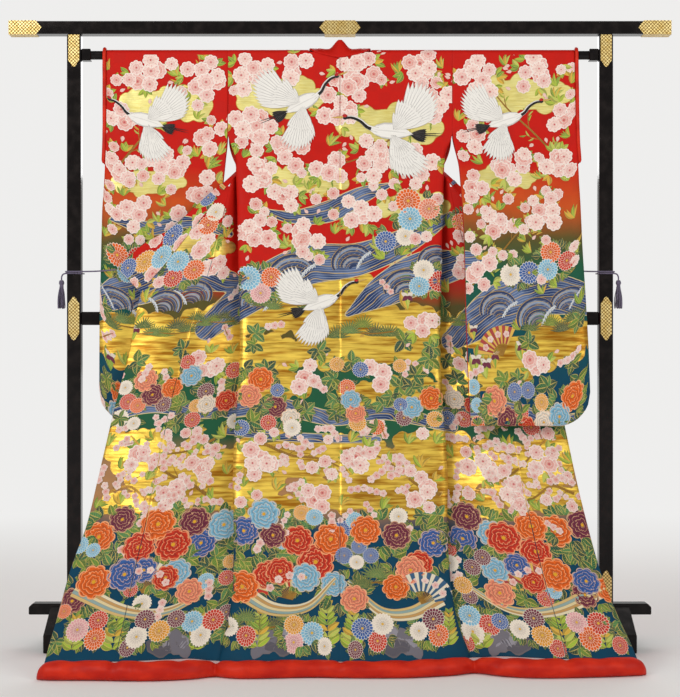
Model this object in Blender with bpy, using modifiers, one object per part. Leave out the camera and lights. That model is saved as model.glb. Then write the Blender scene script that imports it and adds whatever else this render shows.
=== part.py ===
"""Uchikake wedding kimono hung, back outwards, on its lacquered kimono rack.

Units are metres, +Z up. The rack stands on z = 0 and runs along X. The viewer
of the kimono's back stands on -Y. Most cloth depths are given as a "forward"
distance: how far the middle of the wall lies in front of the posts' mid-plane.
The origin is the middle of the footprint of the whole object, on the floor.
"""

import math
from collections import namedtuple

import bmesh
import bpy
import numpy as np
from mathutils import Vector

# ---------------------------------------------------------------- driving sizes
POST_Y = 0.2096  # where the posts' mid-plane lies, so that the origin is the centre
GAP = 0.0003  # between pieces that touch
LEFT, RIGHT = -1, 1

# rack
BEAM_LENGTH = 1.800
BEAM_HEIGHT = 0.035
BEAM_DEPTH = 0.045
RACK_HEIGHT = 1.700
POST_SPACING = 1.449
POST_WIDTH = 0.038
POST_DEPTH = 0.038
POLE_Z = 1.610
POLE_HEIGHT = 0.024
POLE_DEPTH = 0.020
SOCKET_LENGTH = 0.026
SOCKET_HEIGHT = 0.032
SOCKET_DEPTH = 0.030
SOCKET_RECESS = 0.015
MIDDLE_RAIL_Z = 0.891
MIDDLE_RAIL_HEIGHT = 0.036
MIDDLE_RAIL_DEPTH = 0.030
BOTTOM_RAIL_Z = 0.100
BOTTOM_RAIL_HEIGHT = 0.030
BOTTOM_RAIL_DEPTH = 0.046
BOTTOM_RAIL_LENGTH = 1.694
FOOT_WIDTH = 0.126
FOOT_LENGTH = 0.300
FOOT_TOP = 0.106
FOOT_TOE = 0.048
ARRIS = 0.002  # rounding of the lacquered edges
BRASS = 0.0012  # sheet brass

# kimono
WALL = 0.0022  # outer cloth and lining together
BODY_WIDTH = 0.306  # half of the back, which is one loom width a side
FRONT_WIDTH = 0.270  # front panel between its side seam and its inner seam
NECK_HALF = 0.085
SLEEVE_JOIN = 0.212  # how far down the sleeve is sewn to the body
SIDE_OPENING = 0.140  # open side below the sleeve join
SLEEVE_GAP = 0.0300  # hollow between a sleeve's two layers
CUFF_ROLL = 0.0100  # red roll along the cuff
CUFF_BOTTOM = 1.300
COLLAR_WALL = 0.0045  # collar band, folded on itself

RIDGE = POLE_DEPTH / 2 + 0.0004 + WALL / 2  # radius of the fold over the pole
HANG_TOP = POLE_Z + POLE_HEIGHT / 2 - POLE_DEPTH / 2  # where the fold ends and hangs
JOIN_Z = HANG_TOP - SLEEVE_JOIN
OPENING_Z = JOIN_Z - SIDE_OPENING
PROFILE_REACH = 0.460  # how far forward the back would reach at the floor
PROFILE_POWER = 2.05
FLARE_HEIGHT = 0.120  # height over which the cloth turns to the hem roll
HEM_SEAT = 0.0085  # cloth edge behind the roll's middle
HEM_CLEAR = 0.0012  # cloth edge above the roll's top
CURL_IN = 0.014  # how far the back's side turns inwards
CURL_BACK = 0.032  # how far it turns backwards
CURL_REACH = 0.028  # width of cloth in that turn
CURL_BULGE = 0.020  # pulls the turn out to the outline
LAYER_STEP = 0.019  # between the two layers of a folded front
OPENING_SAG = 0.022  # how far the front's free edge hangs back in the side opening
SIDE_SEAM = 0.0014  # front panel starts this far past the back's edge, as both turn
OKUMI_TOP = 1.256
COLLAR_END = 0.958

# ------------------------------------------------------------- tables of the cut
# Back: half-width of its outline at each height, on the left and on the right.
Outline = namedtuple("Outline", "z left right")
BACK_OUTLINE = [
    Outline(1.612, 0.306, 0.306),
    Outline(1.400, 0.306, 0.306),
    Outline(1.340, 0.292, 0.292),
    Outline(1.280, 0.283, 0.283),
    Outline(1.040, 0.274, 0.274),
    Outline(0.800, 0.267, 0.267),
    Outline(0.690, 0.270, 0.270),
    Outline(0.550, 0.278, 0.278),
    Outline(0.450, 0.279, 0.280),
    Outline(0.350, 0.2735, 0.276),
    Outline(0.220, 0.272, 0.282),
    Outline(0.120, 0.285, 0.300),
    Outline(0.048, 0.304, 0.330),
]

# Fronts below the arm: distance of the inner seam (to the okumi, the narrow front
# gore) and of the front edge from the centre, how far forward each lies, and how much
# further back the right front lies, tucked behind its sleeve.
Front = namedtuple("Front", "z seam_left seam_right seam_forward edge_left edge_right edge_forward tuck")
FRONT_LINES = [
    Front(1.265, 0.2968, 0.2968, 0.020, 0.2968, 0.2968, 0.020, 0.004),
    Front(1.220, 0.306, 0.306, 0.034, 0.3316, 0.3316, 0.040, 0.018),
    Front(1.160, 0.319, 0.319, 0.046, 0.3781, 0.3781, 0.053, 0.015),
    Front(1.100, 0.333, 0.333, 0.056, 0.4246, 0.4246, 0.064, 0.013),
    Front(1.030, 0.350, 0.350, 0.067, 0.4788, 0.4788, 0.076, 0.012),
    Front(0.958, 0.372, 0.372, 0.080, 0.5345, 0.5345, 0.088, 0.010),
    Front(0.880, 0.395, 0.390, 0.098, 0.549, 0.546, 0.102, 0.008),
    Front(0.800, 0.417, 0.411, 0.117, 0.5635, 0.558, 0.114, 0.006),
    Front(0.640, 0.452, 0.448, 0.170, 0.600, 0.588, 0.150, 0.002),
    Front(0.465, 0.482, 0.472, 0.236, 0.6345, 0.619, 0.206, 0.0),
    Front(0.355, 0.500, 0.492, 0.286, 0.655, 0.640, 0.258, 0.0),
    Front(0.234, 0.524, 0.516, 0.345, 0.6905, 0.667, 0.325, 0.0),
    Front(0.119, 0.540, 0.544, 0.413, 0.7105, 0.706, 0.405, 0.0),
    Front(0.048, 0.551, 0.558, 0.475, 0.7240, 0.738, 0.470, 0.0),
]

# Collar seam from the ridge of the shoulder down to the arm: the part behind the back.
Neckline = namedtuple("Neckline", "z x forward")
NECKLINE = [
    Neckline(1.612, 0.086, -0.0115),
    Neckline(1.550, 0.115, -0.0200),
    Neckline(1.475, 0.158, -0.0240),
    Neckline(1.400, 0.203, -0.0260),
    Neckline(1.355, 0.232, -0.0270),
    Neckline(1.310, 0.262, -0.0240),
    Neckline(1.265, 0.2968, 0.0200),
]

# Free band of the collar at each height of its seam: how far from the seam it starts, its
# width, and the way that it stands out (out from the centre, forward, up).
Band = namedtuple("Band", "z start width out forward up")
COLLAR_BAND = [
    Band(0.958, 0.0006, 0.0916, 0.69, -0.02, 0.72),
    Band(1.030, 0.0006, 0.0830, 0.75, -0.04, 0.66),
    Band(1.100, 0.0007, 0.0520, 0.78, -0.06, 0.62),
    Band(1.160, 0.0012, 0.0370, 0.77, -0.10, 0.62),
    Band(1.220, 0.0020, 0.0260, 0.74, -0.18, 0.62),
    Band(1.265, 0.0032, 0.0160, 0.60, -0.60, 0.55),
    Band(1.310, 0.0036, 0.0260, 0.25, -1.00, 0.10),
    Band(1.355, 0.0036, 0.0360, 0.05, -1.00, 0.00),
    Band(1.400, 0.0036, 0.0420, -0.05, -1.00, 0.00),
    Band(1.475, 0.0036, 0.0460, -0.15, -1.00, 0.00),
    Band(1.550, 0.0036, 0.0500, -0.25, -1.00, 0.05),
    Band(1.612, 0.0036, 0.0520, -0.30, -1.00, 0.10),
]

# Sleeves: inner and outer edge, and how far forward the outer (front-most) layer lies.
Sleeve = namedtuple("Sleeve", "z inner outer inner_forward outer_forward")
SLEEVE_LEFT = [
    Sleeve(1.612, 0.306, 0.637, 0.0115, 0.0115),
    Sleeve(1.400, 0.306, 0.636, 0.0188, 0.0220),
    Sleeve(1.310, 0.314, 0.638, 0.0140, 0.0310),
    Sleeve(1.250, 0.321, 0.641, 0.0080, 0.0380),
    Sleeve(1.180, 0.328, 0.645, 0.0150, 0.0450),
    Sleeve(1.100, 0.335, 0.646, 0.0260, 0.0530),
    Sleeve(1.000, 0.341, 0.647, 0.0400, 0.0630),
    Sleeve(0.890, 0.346, 0.648, 0.0580, 0.0740),
    Sleeve(0.750, 0.349, 0.647, 0.0780, 0.0880),
    Sleeve(0.612, 0.350, 0.645, 0.0930, 0.1000),
]
SLEEVE_RIGHT = [
    Sleeve(1.612, 0.306, 0.6395, 0.0115, 0.0115),
    Sleeve(1.400, 0.306, 0.641, 0.0188, 0.0300),
    Sleeve(1.300, 0.324, 0.645, 0.0430, 0.0480),
    Sleeve(1.200, 0.330, 0.649, 0.0700, 0.0690),
    Sleeve(1.080, 0.334, 0.651, 0.1000, 0.0960),
    Sleeve(0.930, 0.335, 0.655, 0.1360, 0.1370),
    Sleeve(0.800, 0.337, 0.657, 0.1710, 0.1740),
    Sleeve(0.680, 0.339, 0.656, 0.2080, 0.2130),
    Sleeve(0.608, 0.341, 0.654, 0.2340, 0.2340),
]
SLEEVE_CORNER = 0.086  # radius of the rounded outer bottom corner
SLEEVE_PINCH = 0.0027  # between the two layers where they are sewn together

# Padded hem roll on the floor, from the left tip to the right one.
Roll = namedtuple("Roll", "x forward height depth")
HEM_ROLL = [
    Roll(-0.7390, 0.527, 0.012, 0.012),
    Roll(-0.7330, 0.529, 0.030, 0.030),
    Roll(-0.7150, 0.531, 0.043, 0.048),
    Roll(-0.6800, 0.532, 0.0475, 0.054),
    Roll(-0.6020, 0.533, 0.0475, 0.054),
    Roll(-0.4750, 0.541, 0.0480, 0.056),
    Roll(-0.3780, 0.521, 0.0470, 0.054),
    Roll(-0.3100, 0.486, 0.0390, 0.044),
    Roll(-0.2380, 0.510, 0.0440, 0.052),
    Roll(-0.0720, 0.493, 0.0425, 0.052),
    Roll(0.0160, 0.500, 0.0410, 0.052),
    Roll(0.1560, 0.500, 0.0425, 0.052),
    Roll(0.2660, 0.470, 0.0430, 0.052),
    Roll(0.3370, 0.438, 0.0390, 0.044),
    Roll(0.4120, 0.482, 0.0460, 0.054),
    Roll(0.4980, 0.503, 0.0475, 0.055),
    Roll(0.6440, 0.487, 0.0465, 0.054),
    Roll(0.7200, 0.471, 0.0450, 0.052),
    Roll(0.7430, 0.465, 0.0370, 0.042),
    Roll(0.7540, 0.462, 0.0240, 0.026),
    Roll(0.7575, 0.461, 0.0120, 0.012),
]

# Heights of the grid lines that all body panels share, so that their seams match.
ROWS = [1.612, 1.550, 1.475, 1.400, 1.355, 1.310, 1.265, 1.220, 1.160, 1.100, 1.030, 0.958]
ROWS += [0.870, 0.780, 0.690, 0.600, 0.510, 0.420, 0.330, 0.240, 0.165, 0.100, 0.048]
RIDGE_STEPS = 4  # facets of a quarter of the fold over the pole


# ------------------------------------------------------------------- small helpers
def smooth(table, column, at):
    """Reads a column of a table at any z (or x) with a cubic through its rows."""
    rows = sorted(table, key=lambda row: row[0])
    key = np.array([row[0] for row in rows])
    value = np.array([getattr(row, column) for row in rows])
    slope = np.diff(value) / np.diff(key)
    tangent = np.zeros(len(key))
    same_way = slope[1:] * slope[:-1] > 0
    mean = 2 * slope[1:] * slope[:-1] / np.where(same_way, slope[1:] + slope[:-1], 1)
    tangent[1:-1] = np.where(same_way, mean, 0)
    tangent[0], tangent[-1] = slope[0], slope[-1]
    at = np.clip(np.asarray(at, float), key[0], key[-1])
    i = np.clip(np.searchsorted(key, at, side="right") - 1, 0, len(key) - 2)
    step = key[i + 1] - key[i]
    t = (at - key[i]) / step
    ease_out = (1 + 2 * t) * (1 - t) ** 2
    ease_in = t**2 * (3 - 2 * t)
    return (
        ease_out * value[i]
        + ease_in * value[i + 1]
        + t * (1 - t) ** 2 * step * tangent[i]
        + t**2 * (t - 1) * step * tangent[i + 1]
    )


def ease(low, high, at):
    """0 below low, 1 above high, and a smooth step between; low may be the larger."""
    t = np.clip((np.asarray(at, float) - low) / (high - low), 0, 1)
    return t * t * (3 - 2 * t)


def bezier(points, steps):
    """Points of a cubic Bezier curve in the plane."""
    a, b, c, d = (np.array(point, float) for point in points)
    t = np.linspace(0, 1, steps)[:, None]
    return (1 - t) ** 3 * a + 3 * t * (1 - t) ** 2 * b + 3 * t**2 * (1 - t) * c + t**3 * d


def along(path, stations):
    """Points of a dense polyline at the given distances from its start."""
    steps = np.linalg.norm(np.diff(path, axis=0), axis=1)
    distance = np.concatenate([[0], np.cumsum(steps)])
    return np.stack([np.interp(stations, distance, path[:, i]) for i in range(path.shape[1])], 1)


def spline(points, count):
    """Catmull-Rom curve through points, read at equal distances."""
    p = np.array(points, float)
    p = np.vstack([2 * p[0] - p[1], p, 2 * p[-1] - p[-2]])
    t = np.linspace(0, 1, 12, endpoint=False)[:, None]
    pieces = [
        0.5
        * (
            2 * p[i + 1]
            + (p[i + 2] - p[i]) * t
            + (2 * p[i] - 5 * p[i + 1] + 4 * p[i + 2] - p[i + 3]) * t**2
            + (3 * p[i + 1] - p[i] - 3 * p[i + 2] + p[i + 3]) * t**3
        )
        for i in range(len(p) - 3)
    ]
    dense = np.vstack([*pieces, p[-2:-1]])
    total = np.linalg.norm(np.diff(dense, axis=0), axis=1).sum()
    return along(dense, np.linspace(0, total, count))


# ------------------------------------------------------------ scene and collections
def clear_scene():
    for ob in list(bpy.data.objects):
        bpy.data.objects.remove(ob)


def collection(name):
    made = bpy.data.collections.new(name)
    bpy.context.scene.collection.children.link(made)
    return made


clear_scene()
PARTS = collection("uchikake_on_kimono_rack")
CUTTERS = collection("cutters")


def material(name, colour, roughness, metallic=0.0):
    made = bpy.data.materials.new(name)
    made.use_nodes = True
    shader = made.node_tree.nodes["Principled BSDF"]
    shader.inputs["Base Color"].default_value = (*colour, 1)
    shader.inputs["Roughness"].default_value = roughness
    shader.inputs["Metallic"].default_value = metallic
    return made


def add(name, mesh, finish, group=None):
    ob = bpy.data.objects.new(name, mesh)
    (group or PARTS).objects.link(ob)
    if finish:
        mesh.materials.append(finish)
    return ob


def block_mesh(name, low, high):
    """A box mesh between two corners, from bmesh's cube."""
    form = bmesh.new()
    bmesh.ops.create_cube(form, size=1)
    size = Vector(high) - Vector(low)
    bmesh.ops.scale(form, vec=size, verts=form.verts)
    bmesh.ops.translate(form, vec=Vector(low) + size / 2, verts=form.verts)
    mesh = bpy.data.meshes.new(name)
    form.to_mesh(mesh)
    form.free()
    return mesh


def round_edges(ob, width, segments=1):
    bevel = ob.modifiers.new("arris", "BEVEL")
    bevel.width = width
    bevel.segments = segments
    bevel.limit_method = "ANGLE"
    bevel.angle_limit = math.radians(40)
    return ob


def block(name, low, high, finish, arris=ARRIS):
    ob = add(name, block_mesh(name, low, high), finish)
    if arris:
        round_edges(ob, arris)
    return ob


def cut(ob, low, high):
    """Cuts a box out of a piece."""
    cutter = add(ob.name + "_cutter", block_mesh(ob.name + "_cutter", low, high), None, CUTTERS)
    cutter.hide_render = True
    cutter.display_type = "WIRE"
    boolean = ob.modifiers.new("cut", "BOOLEAN")
    boolean.operation = "DIFFERENCE"
    boolean.solver = "EXACT"
    boolean.object = cutter
    return ob


def prism(name, outline, y_low, y_high, finish):
    """A flat outline in XZ, given as points or arcs of points, made solid along Y."""
    form = bmesh.new()
    face = form.faces.new([form.verts.new((x, y_low, z)) for x, z in outline])
    moved = bmesh.ops.extrude_face_region(form, geom=[face])["geom"]
    rising = [item for item in moved if isinstance(item, bmesh.types.BMVert)]
    bmesh.ops.translate(form, vec=(0, y_high - y_low, 0), verts=rising)
    bmesh.ops.recalc_face_normals(form, faces=form.faces)
    mesh = bpy.data.meshes.new(name)
    form.to_mesh(mesh)
    form.free()
    return add(name, mesh, finish)


def grid_mesh(name, grid, outwards=True, notch=(0, 0)):
    """An open surface through a grid of points (rows, columns, 3), without the faces of
    its first rows and columns where it has a notch."""
    rows, columns = grid.shape[:2]
    index = np.arange(rows * columns).reshape(rows, columns)
    quads = np.stack([index[:-1, :-1], index[:-1, 1:], index[1:, 1:], index[1:, :-1]], -1)
    kept = np.ones((rows - 1, columns - 1), bool)
    kept[: notch[0], : notch[1]] = False
    quads = quads[kept]
    if not outwards:
        quads = quads[:, ::-1]
    mesh = bpy.data.meshes.new(name)
    mesh.from_pydata(grid.reshape(-1, 3).tolist(), [], quads.tolist())
    form = bmesh.new()
    form.from_mesh(mesh)
    bmesh.ops.delete(form, geom=[v for v in form.verts if not v.link_faces], context="VERTS")
    form.to_mesh(mesh)
    form.free()
    return mesh


def cloth(name, grid, finish, wall=WALL, outwards=True, notch=(0, 0)):
    """A wall of cloth whose middle is the grid."""
    ob = add(name, grid_mesh(name, grid, outwards, notch), finish)
    solid = ob.modifiers.new("wall", "SOLIDIFY")
    solid.thickness = wall
    solid.offset = 0
    ob.data.shade_smooth()
    return ob


def ringed(name, rings, finish):
    """A closed body through rings of points (ring, point, 3), flat at its two ends."""
    count, sides = rings.shape[:2]
    index = np.arange(count * sides).reshape(count, sides)
    following = np.roll(index, -1, axis=1)
    quads = np.stack([index[:-1], following[:-1], following[1:], index[1:]], -1)
    faces = quads.reshape(-1, 4).tolist() + [index[0][::-1].tolist(), index[-1].tolist()]
    mesh = bpy.data.meshes.new(name)
    mesh.from_pydata(rings.reshape(-1, 3).tolist(), [], faces)
    form = bmesh.new()
    form.from_mesh(mesh)
    bmesh.ops.recalc_face_normals(form, faces=form.faces)
    form.to_mesh(mesh)
    form.free()
    mesh.shade_smooth()
    return add(name, mesh, finish)


def world(x, forward, z):
    """Points from distance sideways, forward of the posts' plane, and height."""
    x, forward, z = np.broadcast_arrays(x, forward, z)
    return np.stack([x, POST_Y - forward, z], -1)


# ------------------------------------------------------------------- the lacquer rack
LACQUER = material("black_lacquer", (0.012, 0.011, 0.012), 0.16)
GILT = material("engraved_brass", (0.62, 0.47, 0.22), 0.34, 1.0)


def build_beam():
    """Top beam, with a brass cap at each end and a brass band at its middle."""
    half, bottom = BEAM_LENGTH / 2, RACK_HEIGHT - BEAM_HEIGHT
    front, rear = POST_Y - BEAM_DEPTH / 2, POST_Y + BEAM_DEPTH / 2
    block("top_beam", (-half, front, bottom), (half, rear, RACK_HEIGHT), LACQUER)
    low, high = bottom - GAP - BRASS, RACK_HEIGHT + GAP + BRASS
    middle = (low + high) / 2
    reach, tip = 0.088, 0.015

    def brass_sleeve(name, outline, cavity_low, cavity_high):
        sleeve = prism(name, outline, front - GAP - BRASS, rear + GAP + BRASS, GILT)
        cut(sleeve, (cavity_low, front - GAP, bottom - GAP), (cavity_high, rear + GAP, RACK_HEIGHT + GAP))

    for side, word in ((LEFT, "left"), (RIGHT, "right")):
        end = side * (half + GAP + BRASS)
        inner = side * (half - reach)
        shoulder = inner + side * tip
        outline = [(end, low), (shoulder, low), (inner, middle), (shoulder, high), (end, high)]
        cavity = sorted([side * (half + GAP), inner - side * 0.02])
        brass_sleeve("beam_cap_" + word, outline, *cavity)
    reach = 0.056
    outline = [(-reach, middle), (tip - reach, low), (reach - tip, low)]
    outline += [(reach, middle), (reach - tip, high), (tip - reach, high)]
    brass_sleeve("beam_centre_band", outline, -reach - 0.02, reach + 0.02)


def build_posts():
    """Two posts that stand on the bottom rail and carry the beam."""
    bottom = BOTTOM_RAIL_Z + BOTTOM_RAIL_HEIGHT / 2 + GAP
    top = RACK_HEIGHT - BEAM_HEIGHT - GAP - BRASS - GAP
    for side, word in ((LEFT, "left"), (RIGHT, "right")):
        x = side * POST_SPACING / 2
        low = (x - POST_WIDTH / 2, POST_Y - POST_DEPTH / 2, bottom)
        high = (x + POST_WIDTH / 2, POST_Y + POST_DEPTH / 2, top + BRASS)
        block("post_" + word, low, high, LACQUER)


def build_rails():
    """Middle rail between the posts, and bottom rail that passes under both."""
    inside = POST_SPACING / 2 - POST_WIDTH / 2 - GAP
    half_y, half_z = MIDDLE_RAIL_DEPTH / 2, MIDDLE_RAIL_HEIGHT / 2
    low = (-inside, POST_Y - half_y, MIDDLE_RAIL_Z - half_z)
    high = (inside, POST_Y + half_y, MIDDLE_RAIL_Z + half_z)
    block("middle_rail", low, high, LACQUER)
    half_y, half_z = BOTTOM_RAIL_DEPTH / 2, BOTTOM_RAIL_HEIGHT / 2
    half = BOTTOM_RAIL_LENGTH / 2
    chamfer = 0.010
    outline = [(-half, BOTTOM_RAIL_Z - half_z), (half, BOTTOM_RAIL_Z - half_z)]
    outline += [(half, BOTTOM_RAIL_Z + half_z - chamfer), (half - chamfer, BOTTOM_RAIL_Z + half_z)]
    outline += [(chamfer - half, BOTTOM_RAIL_Z + half_z), (-half, BOTTOM_RAIL_Z + half_z - chamfer)]
    rail = prism("bottom_rail", outline, POST_Y - half_y, POST_Y + half_y, LACQUER)
    round_edges(rail, ARRIS)


def build_pole():
    """Round-topped pole that carries the kimono, in a socket on each post."""
    inside = POST_SPACING / 2 - POST_WIDTH / 2 - GAP
    reach = inside - SOCKET_LENGTH + SOCKET_RECESS
    half_y, half_z = POLE_DEPTH / 2, POLE_HEIGHT / 2
    low, high = (-reach, POST_Y - half_y, POLE_Z - half_z), (reach, POST_Y + half_y, POLE_Z + half_z)
    pole = add("kimono_pole", block_mesh("kimono_pole", low, high), LACQUER)
    for edge in pole.data.edges:
        ends = [pole.data.vertices[i].co for i in edge.vertices]
        if abs(ends[0].x - ends[1].x) > reach:
            edge.use_seam = True
    weights = pole.data.attributes.new("bevel_weight_edge", "FLOAT", "EDGE")
    for i, edge in enumerate(pole.data.edges):
        weights.data[i].value = float(edge.use_seam)
    bevel = pole.modifiers.new("round", "BEVEL")
    bevel.width = half_y - 0.00005
    bevel.segments = 5
    bevel.limit_method = "WEIGHT"
    for side, word in ((LEFT, "left"), (RIGHT, "right")):
        face, end = side * inside, side * (inside - SOCKET_LENGTH)
        low = (min(face, end), POST_Y - SOCKET_DEPTH / 2, POLE_Z - SOCKET_HEIGHT / 2)
        high = (max(face, end), POST_Y + SOCKET_DEPTH / 2, POLE_Z + SOCKET_HEIGHT / 2)
        socket = block("pole_socket_" + word, low, high, LACQUER)
        stop, beyond = side * (reach + GAP), end - side * 0.01
        low = (min(stop, beyond), POST_Y - half_y - GAP, POLE_Z - half_z - GAP)
        high = (max(stop, beyond), POST_Y + half_y + GAP, POLE_Z + half_z + GAP)
        cut(socket, low, high)


def build_feet():
    """A foot under each post, across the rack, with a notch that the rail lies in."""
    shoulder = BOTTOM_RAIL_DEPTH / 2 + 0.004
    half = FOOT_LENGTH / 2
    for side, word in ((LEFT, "left"), (RIGHT, "right")):
        x = side * POST_SPACING / 2
        outline = [(-half, 0), (half, 0), (half, FOOT_TOE), (shoulder, FOOT_TOP)]
        outline += [(-shoulder, FOOT_TOP), (-half, FOOT_TOE)]
        name = "foot_" + word
        foot = prism(name, outline, -FOOT_WIDTH / 2, FOOT_WIDTH / 2, LACQUER)
        for corner in foot.data.vertices:
            along_y, across = corner.co.x, corner.co.y
            corner.co = (x - across, POST_Y + along_y, corner.co.z)
        low = (
            x - FOOT_WIDTH,
            POST_Y - BOTTOM_RAIL_DEPTH / 2 - GAP,
            BOTTOM_RAIL_Z - BOTTOM_RAIL_HEIGHT / 2 - GAP,
        )
        high = (x + FOOT_WIDTH, POST_Y + BOTTOM_RAIL_DEPTH / 2 + GAP, FOOT_TOP + 0.05)
        cut(foot, low, high)
        round_edges(foot, 0.003, 2)


def plate_outline(x, half_width, low, high, tip_low, tip_high):
    """Outline of a strap plate: an ogee-like point at an end, or square where tip is 0."""
    points = []
    for z, tip, way in ((low, tip_low, 1), (high, tip_high, -1)):
        if tip:
            shoulder = [(-1, tip), (-0.62, tip * 0.62), (-0.34, tip * 0.18), (0, 0)]
        else:
            shoulder = [(-1, 0), (1, 0)]
        if tip:
            shoulder += [(-a, b) for a, b in shoulder[-2::-1]]
        points += [(x + way * a * half_width, z + way * b) for a, b in shoulder]
    return points


def build_post_plates():
    """Engraved brass straps on the posts, over their joints with beam and rails."""
    face = POST_Y - POST_DEPTH / 2 - GAP
    under_beam = RACK_HEIGHT - BEAM_HEIGHT - 2 * GAP - BRASS
    rail_top = BOTTOM_RAIL_Z + BOTTOM_RAIL_HEIGHT / 2 + GAP
    for side, word in ((LEFT, "left"), (RIGHT, "right")):
        x = side * POST_SPACING / 2
        straps = {
            "post_strap_top_": plate_outline(x, 0.0150, under_beam - 0.088, under_beam, 0.018, 0),
            "post_strap_middle_": plate_outline(
                x, 0.0148, MIDDLE_RAIL_Z - 0.060, MIDDLE_RAIL_Z + 0.059, 0.018, 0.018
            ),
            "post_strap_low_": plate_outline(x, 0.0150, rail_top, rail_top + 0.090, 0, 0.022),
        }
        for name, outline in straps.items():
            prism(name + word, outline, face - BRASS, face, GILT)


# ------------------------------------------------------------------------ the kimono
BROCADE = material("red_ground_brocade", (0.55, 0.06, 0.03), 0.55)
BROCADE_GOLD = material("gold_and_teal_brocade", (0.45, 0.33, 0.10), 0.45)
RED_SILK = material("red_silk_roll", (0.62, 0.05, 0.02), 0.60)
PURPLE = material("purple_cord", (0.10, 0.07, 0.14), 0.70)


def profile(z):
    """How far forward the back hangs at a height: upright at the pole, leaning below."""
    drop = np.clip((HANG_TOP - np.asarray(z, float)) / 1.6, 0, None)
    return RIDGE + PROFILE_REACH * drop**PROFILE_POWER


def hem_pull(z):
    """Share of the hem's plan shape that reaches up to a height."""
    return np.exp(-(np.clip((np.asarray(z, float) - ROWS[-1]) / FLARE_HEIGHT, 0, None) ** 1.3))


def seat_forward(x):
    """Where the cloth meets the hem roll."""
    return smooth(HEM_ROLL, "forward", x) - HEM_SEAT


def with_hem(x, forward, forward_at_hem, z):
    """Turns a depth into the plan of the hem roll, near the floor."""
    return forward + (seat_forward(x) - forward_at_hem) * hem_pull(z)


def row_height(x, z):
    """Height of a grid line: the last one follows the top of the hem roll."""
    top = smooth(HEM_ROLL, "height", x) + HEM_CLEAR
    return np.where(np.isclose(z, ROWS[-1]), top, z)


def curl(z):
    """How far the side of the back is turned in: none where the sleeve is sewn on."""
    return (1 - ease(OPENING_Z, JOIN_Z, z)) * (1 - 0.75 * hem_pull(z))


def back_plan(side, z, stations):
    """Plan of half the back at one height, as (x, forward); stations run 0 to 1."""
    half = smooth(BACK_OUTLINE, "left" if side == LEFT else "right", z)
    turn = curl(z)
    flat = half - CURL_REACH
    s = np.clip(stations / 0.85, 0, 1)
    t = np.clip((stations - 0.85) / 0.15, 0, 1)
    bulge = half - CURL_REACH / 2 + (CURL_REACH / 2 + CURL_BULGE) * turn
    x = np.where(
        stations <= 0.85,
        flat * s,
        (1 - t) ** 2 * flat + 2 * t * (1 - t) * bulge + t**2 * (half - CURL_IN * turn),
    )
    forward = profile(z) - t**2 * CURL_BACK * turn
    return x, with_hem(side * x, forward, profile(ROWS[-1]), z)


def side_seam(side, z):
    """Plan point where the back's side ends."""
    x, forward = back_plan(side, z, np.array([1.0]))
    return x[0], forward[0]


def side_tangent(z):
    """Way in which the back's cloth runs, in plan, where it ends at the side seam."""
    turn = curl(z)
    way = np.array([CURL_REACH / 2 - (CURL_REACH / 2 + CURL_BULGE + CURL_IN) * turn, -CURL_BACK * turn])
    return way / np.linalg.norm(way)


def ridge_rows(side, x, way):
    """Grid lines over the pole: way 1 goes down the viewer's side, -1 down the far side."""
    angles = np.radians(np.linspace(0, 90, RIDGE_STEPS + 1))[:-1]
    return [
        world(side * x, way * max(RIDGE * math.sin(angle), GAP), HANG_TOP + RIDGE * math.cos(angle))
        for angle in angles
    ]


NECK_COLUMNS = 2
NECK_STATION = 0.85 * (NECK_HALF + 0.0005) / (BODY_WIDTH - CURL_REACH)
BACK_STATIONS = np.array([0, NECK_STATION / 2, NECK_STATION, 0.40, 0.55, 0.70, 0.85, 0.90, 0.95, 1.0])


def build_back(side, word):
    """Half of the back: one loom width from the ridge of the pole down to the hem."""
    x_top = np.abs(back_plan(side, ROWS[0], BACK_STATIONS)[0])
    x_top = np.clip(x_top, GAP / 2, BODY_WIDTH - GAP / 2)
    grid = ridge_rows(side, x_top, 1)
    for z in ROWS:
        x, forward = back_plan(side, z, BACK_STATIONS)
        x = np.clip(x, GAP / 2, None)
        if z > OPENING_Z - 0.001:
            x = np.minimum(x, BODY_WIDTH - GAP / 2)
        grid.append(world(side * x, forward, row_height(side * x, z)))
    notch = (RIDGE_STEPS, NECK_COLUMNS)
    cloth("back_" + word, np.array(grid), BROCADE, outwards=side == LEFT, notch=notch)


def seam_line(side, z):
    """Inner edge of the front panel: collar seam above the arm, okumi seam below."""
    if z > FRONT_LINES[0].z:
        return smooth(NECKLINE, "x", z), smooth(NECKLINE, "forward", z)
    return front_line(side, z, "seam")


def front_line(side, z, which):
    """A seam or edge of the front below the arm, as (x, forward)."""
    x = smooth(FRONT_LINES, which + ("_left" if side == LEFT else "_right"), z)
    forward = smooth(FRONT_LINES, which + "_forward", z)
    if side == RIGHT:
        forward = forward - smooth(FRONT_LINES, "tuck", z)
    at_hem = getattr(FRONT_LINES[-1], which + "_forward")
    return x, with_hem(side * x, forward, at_hem, z)


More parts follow.
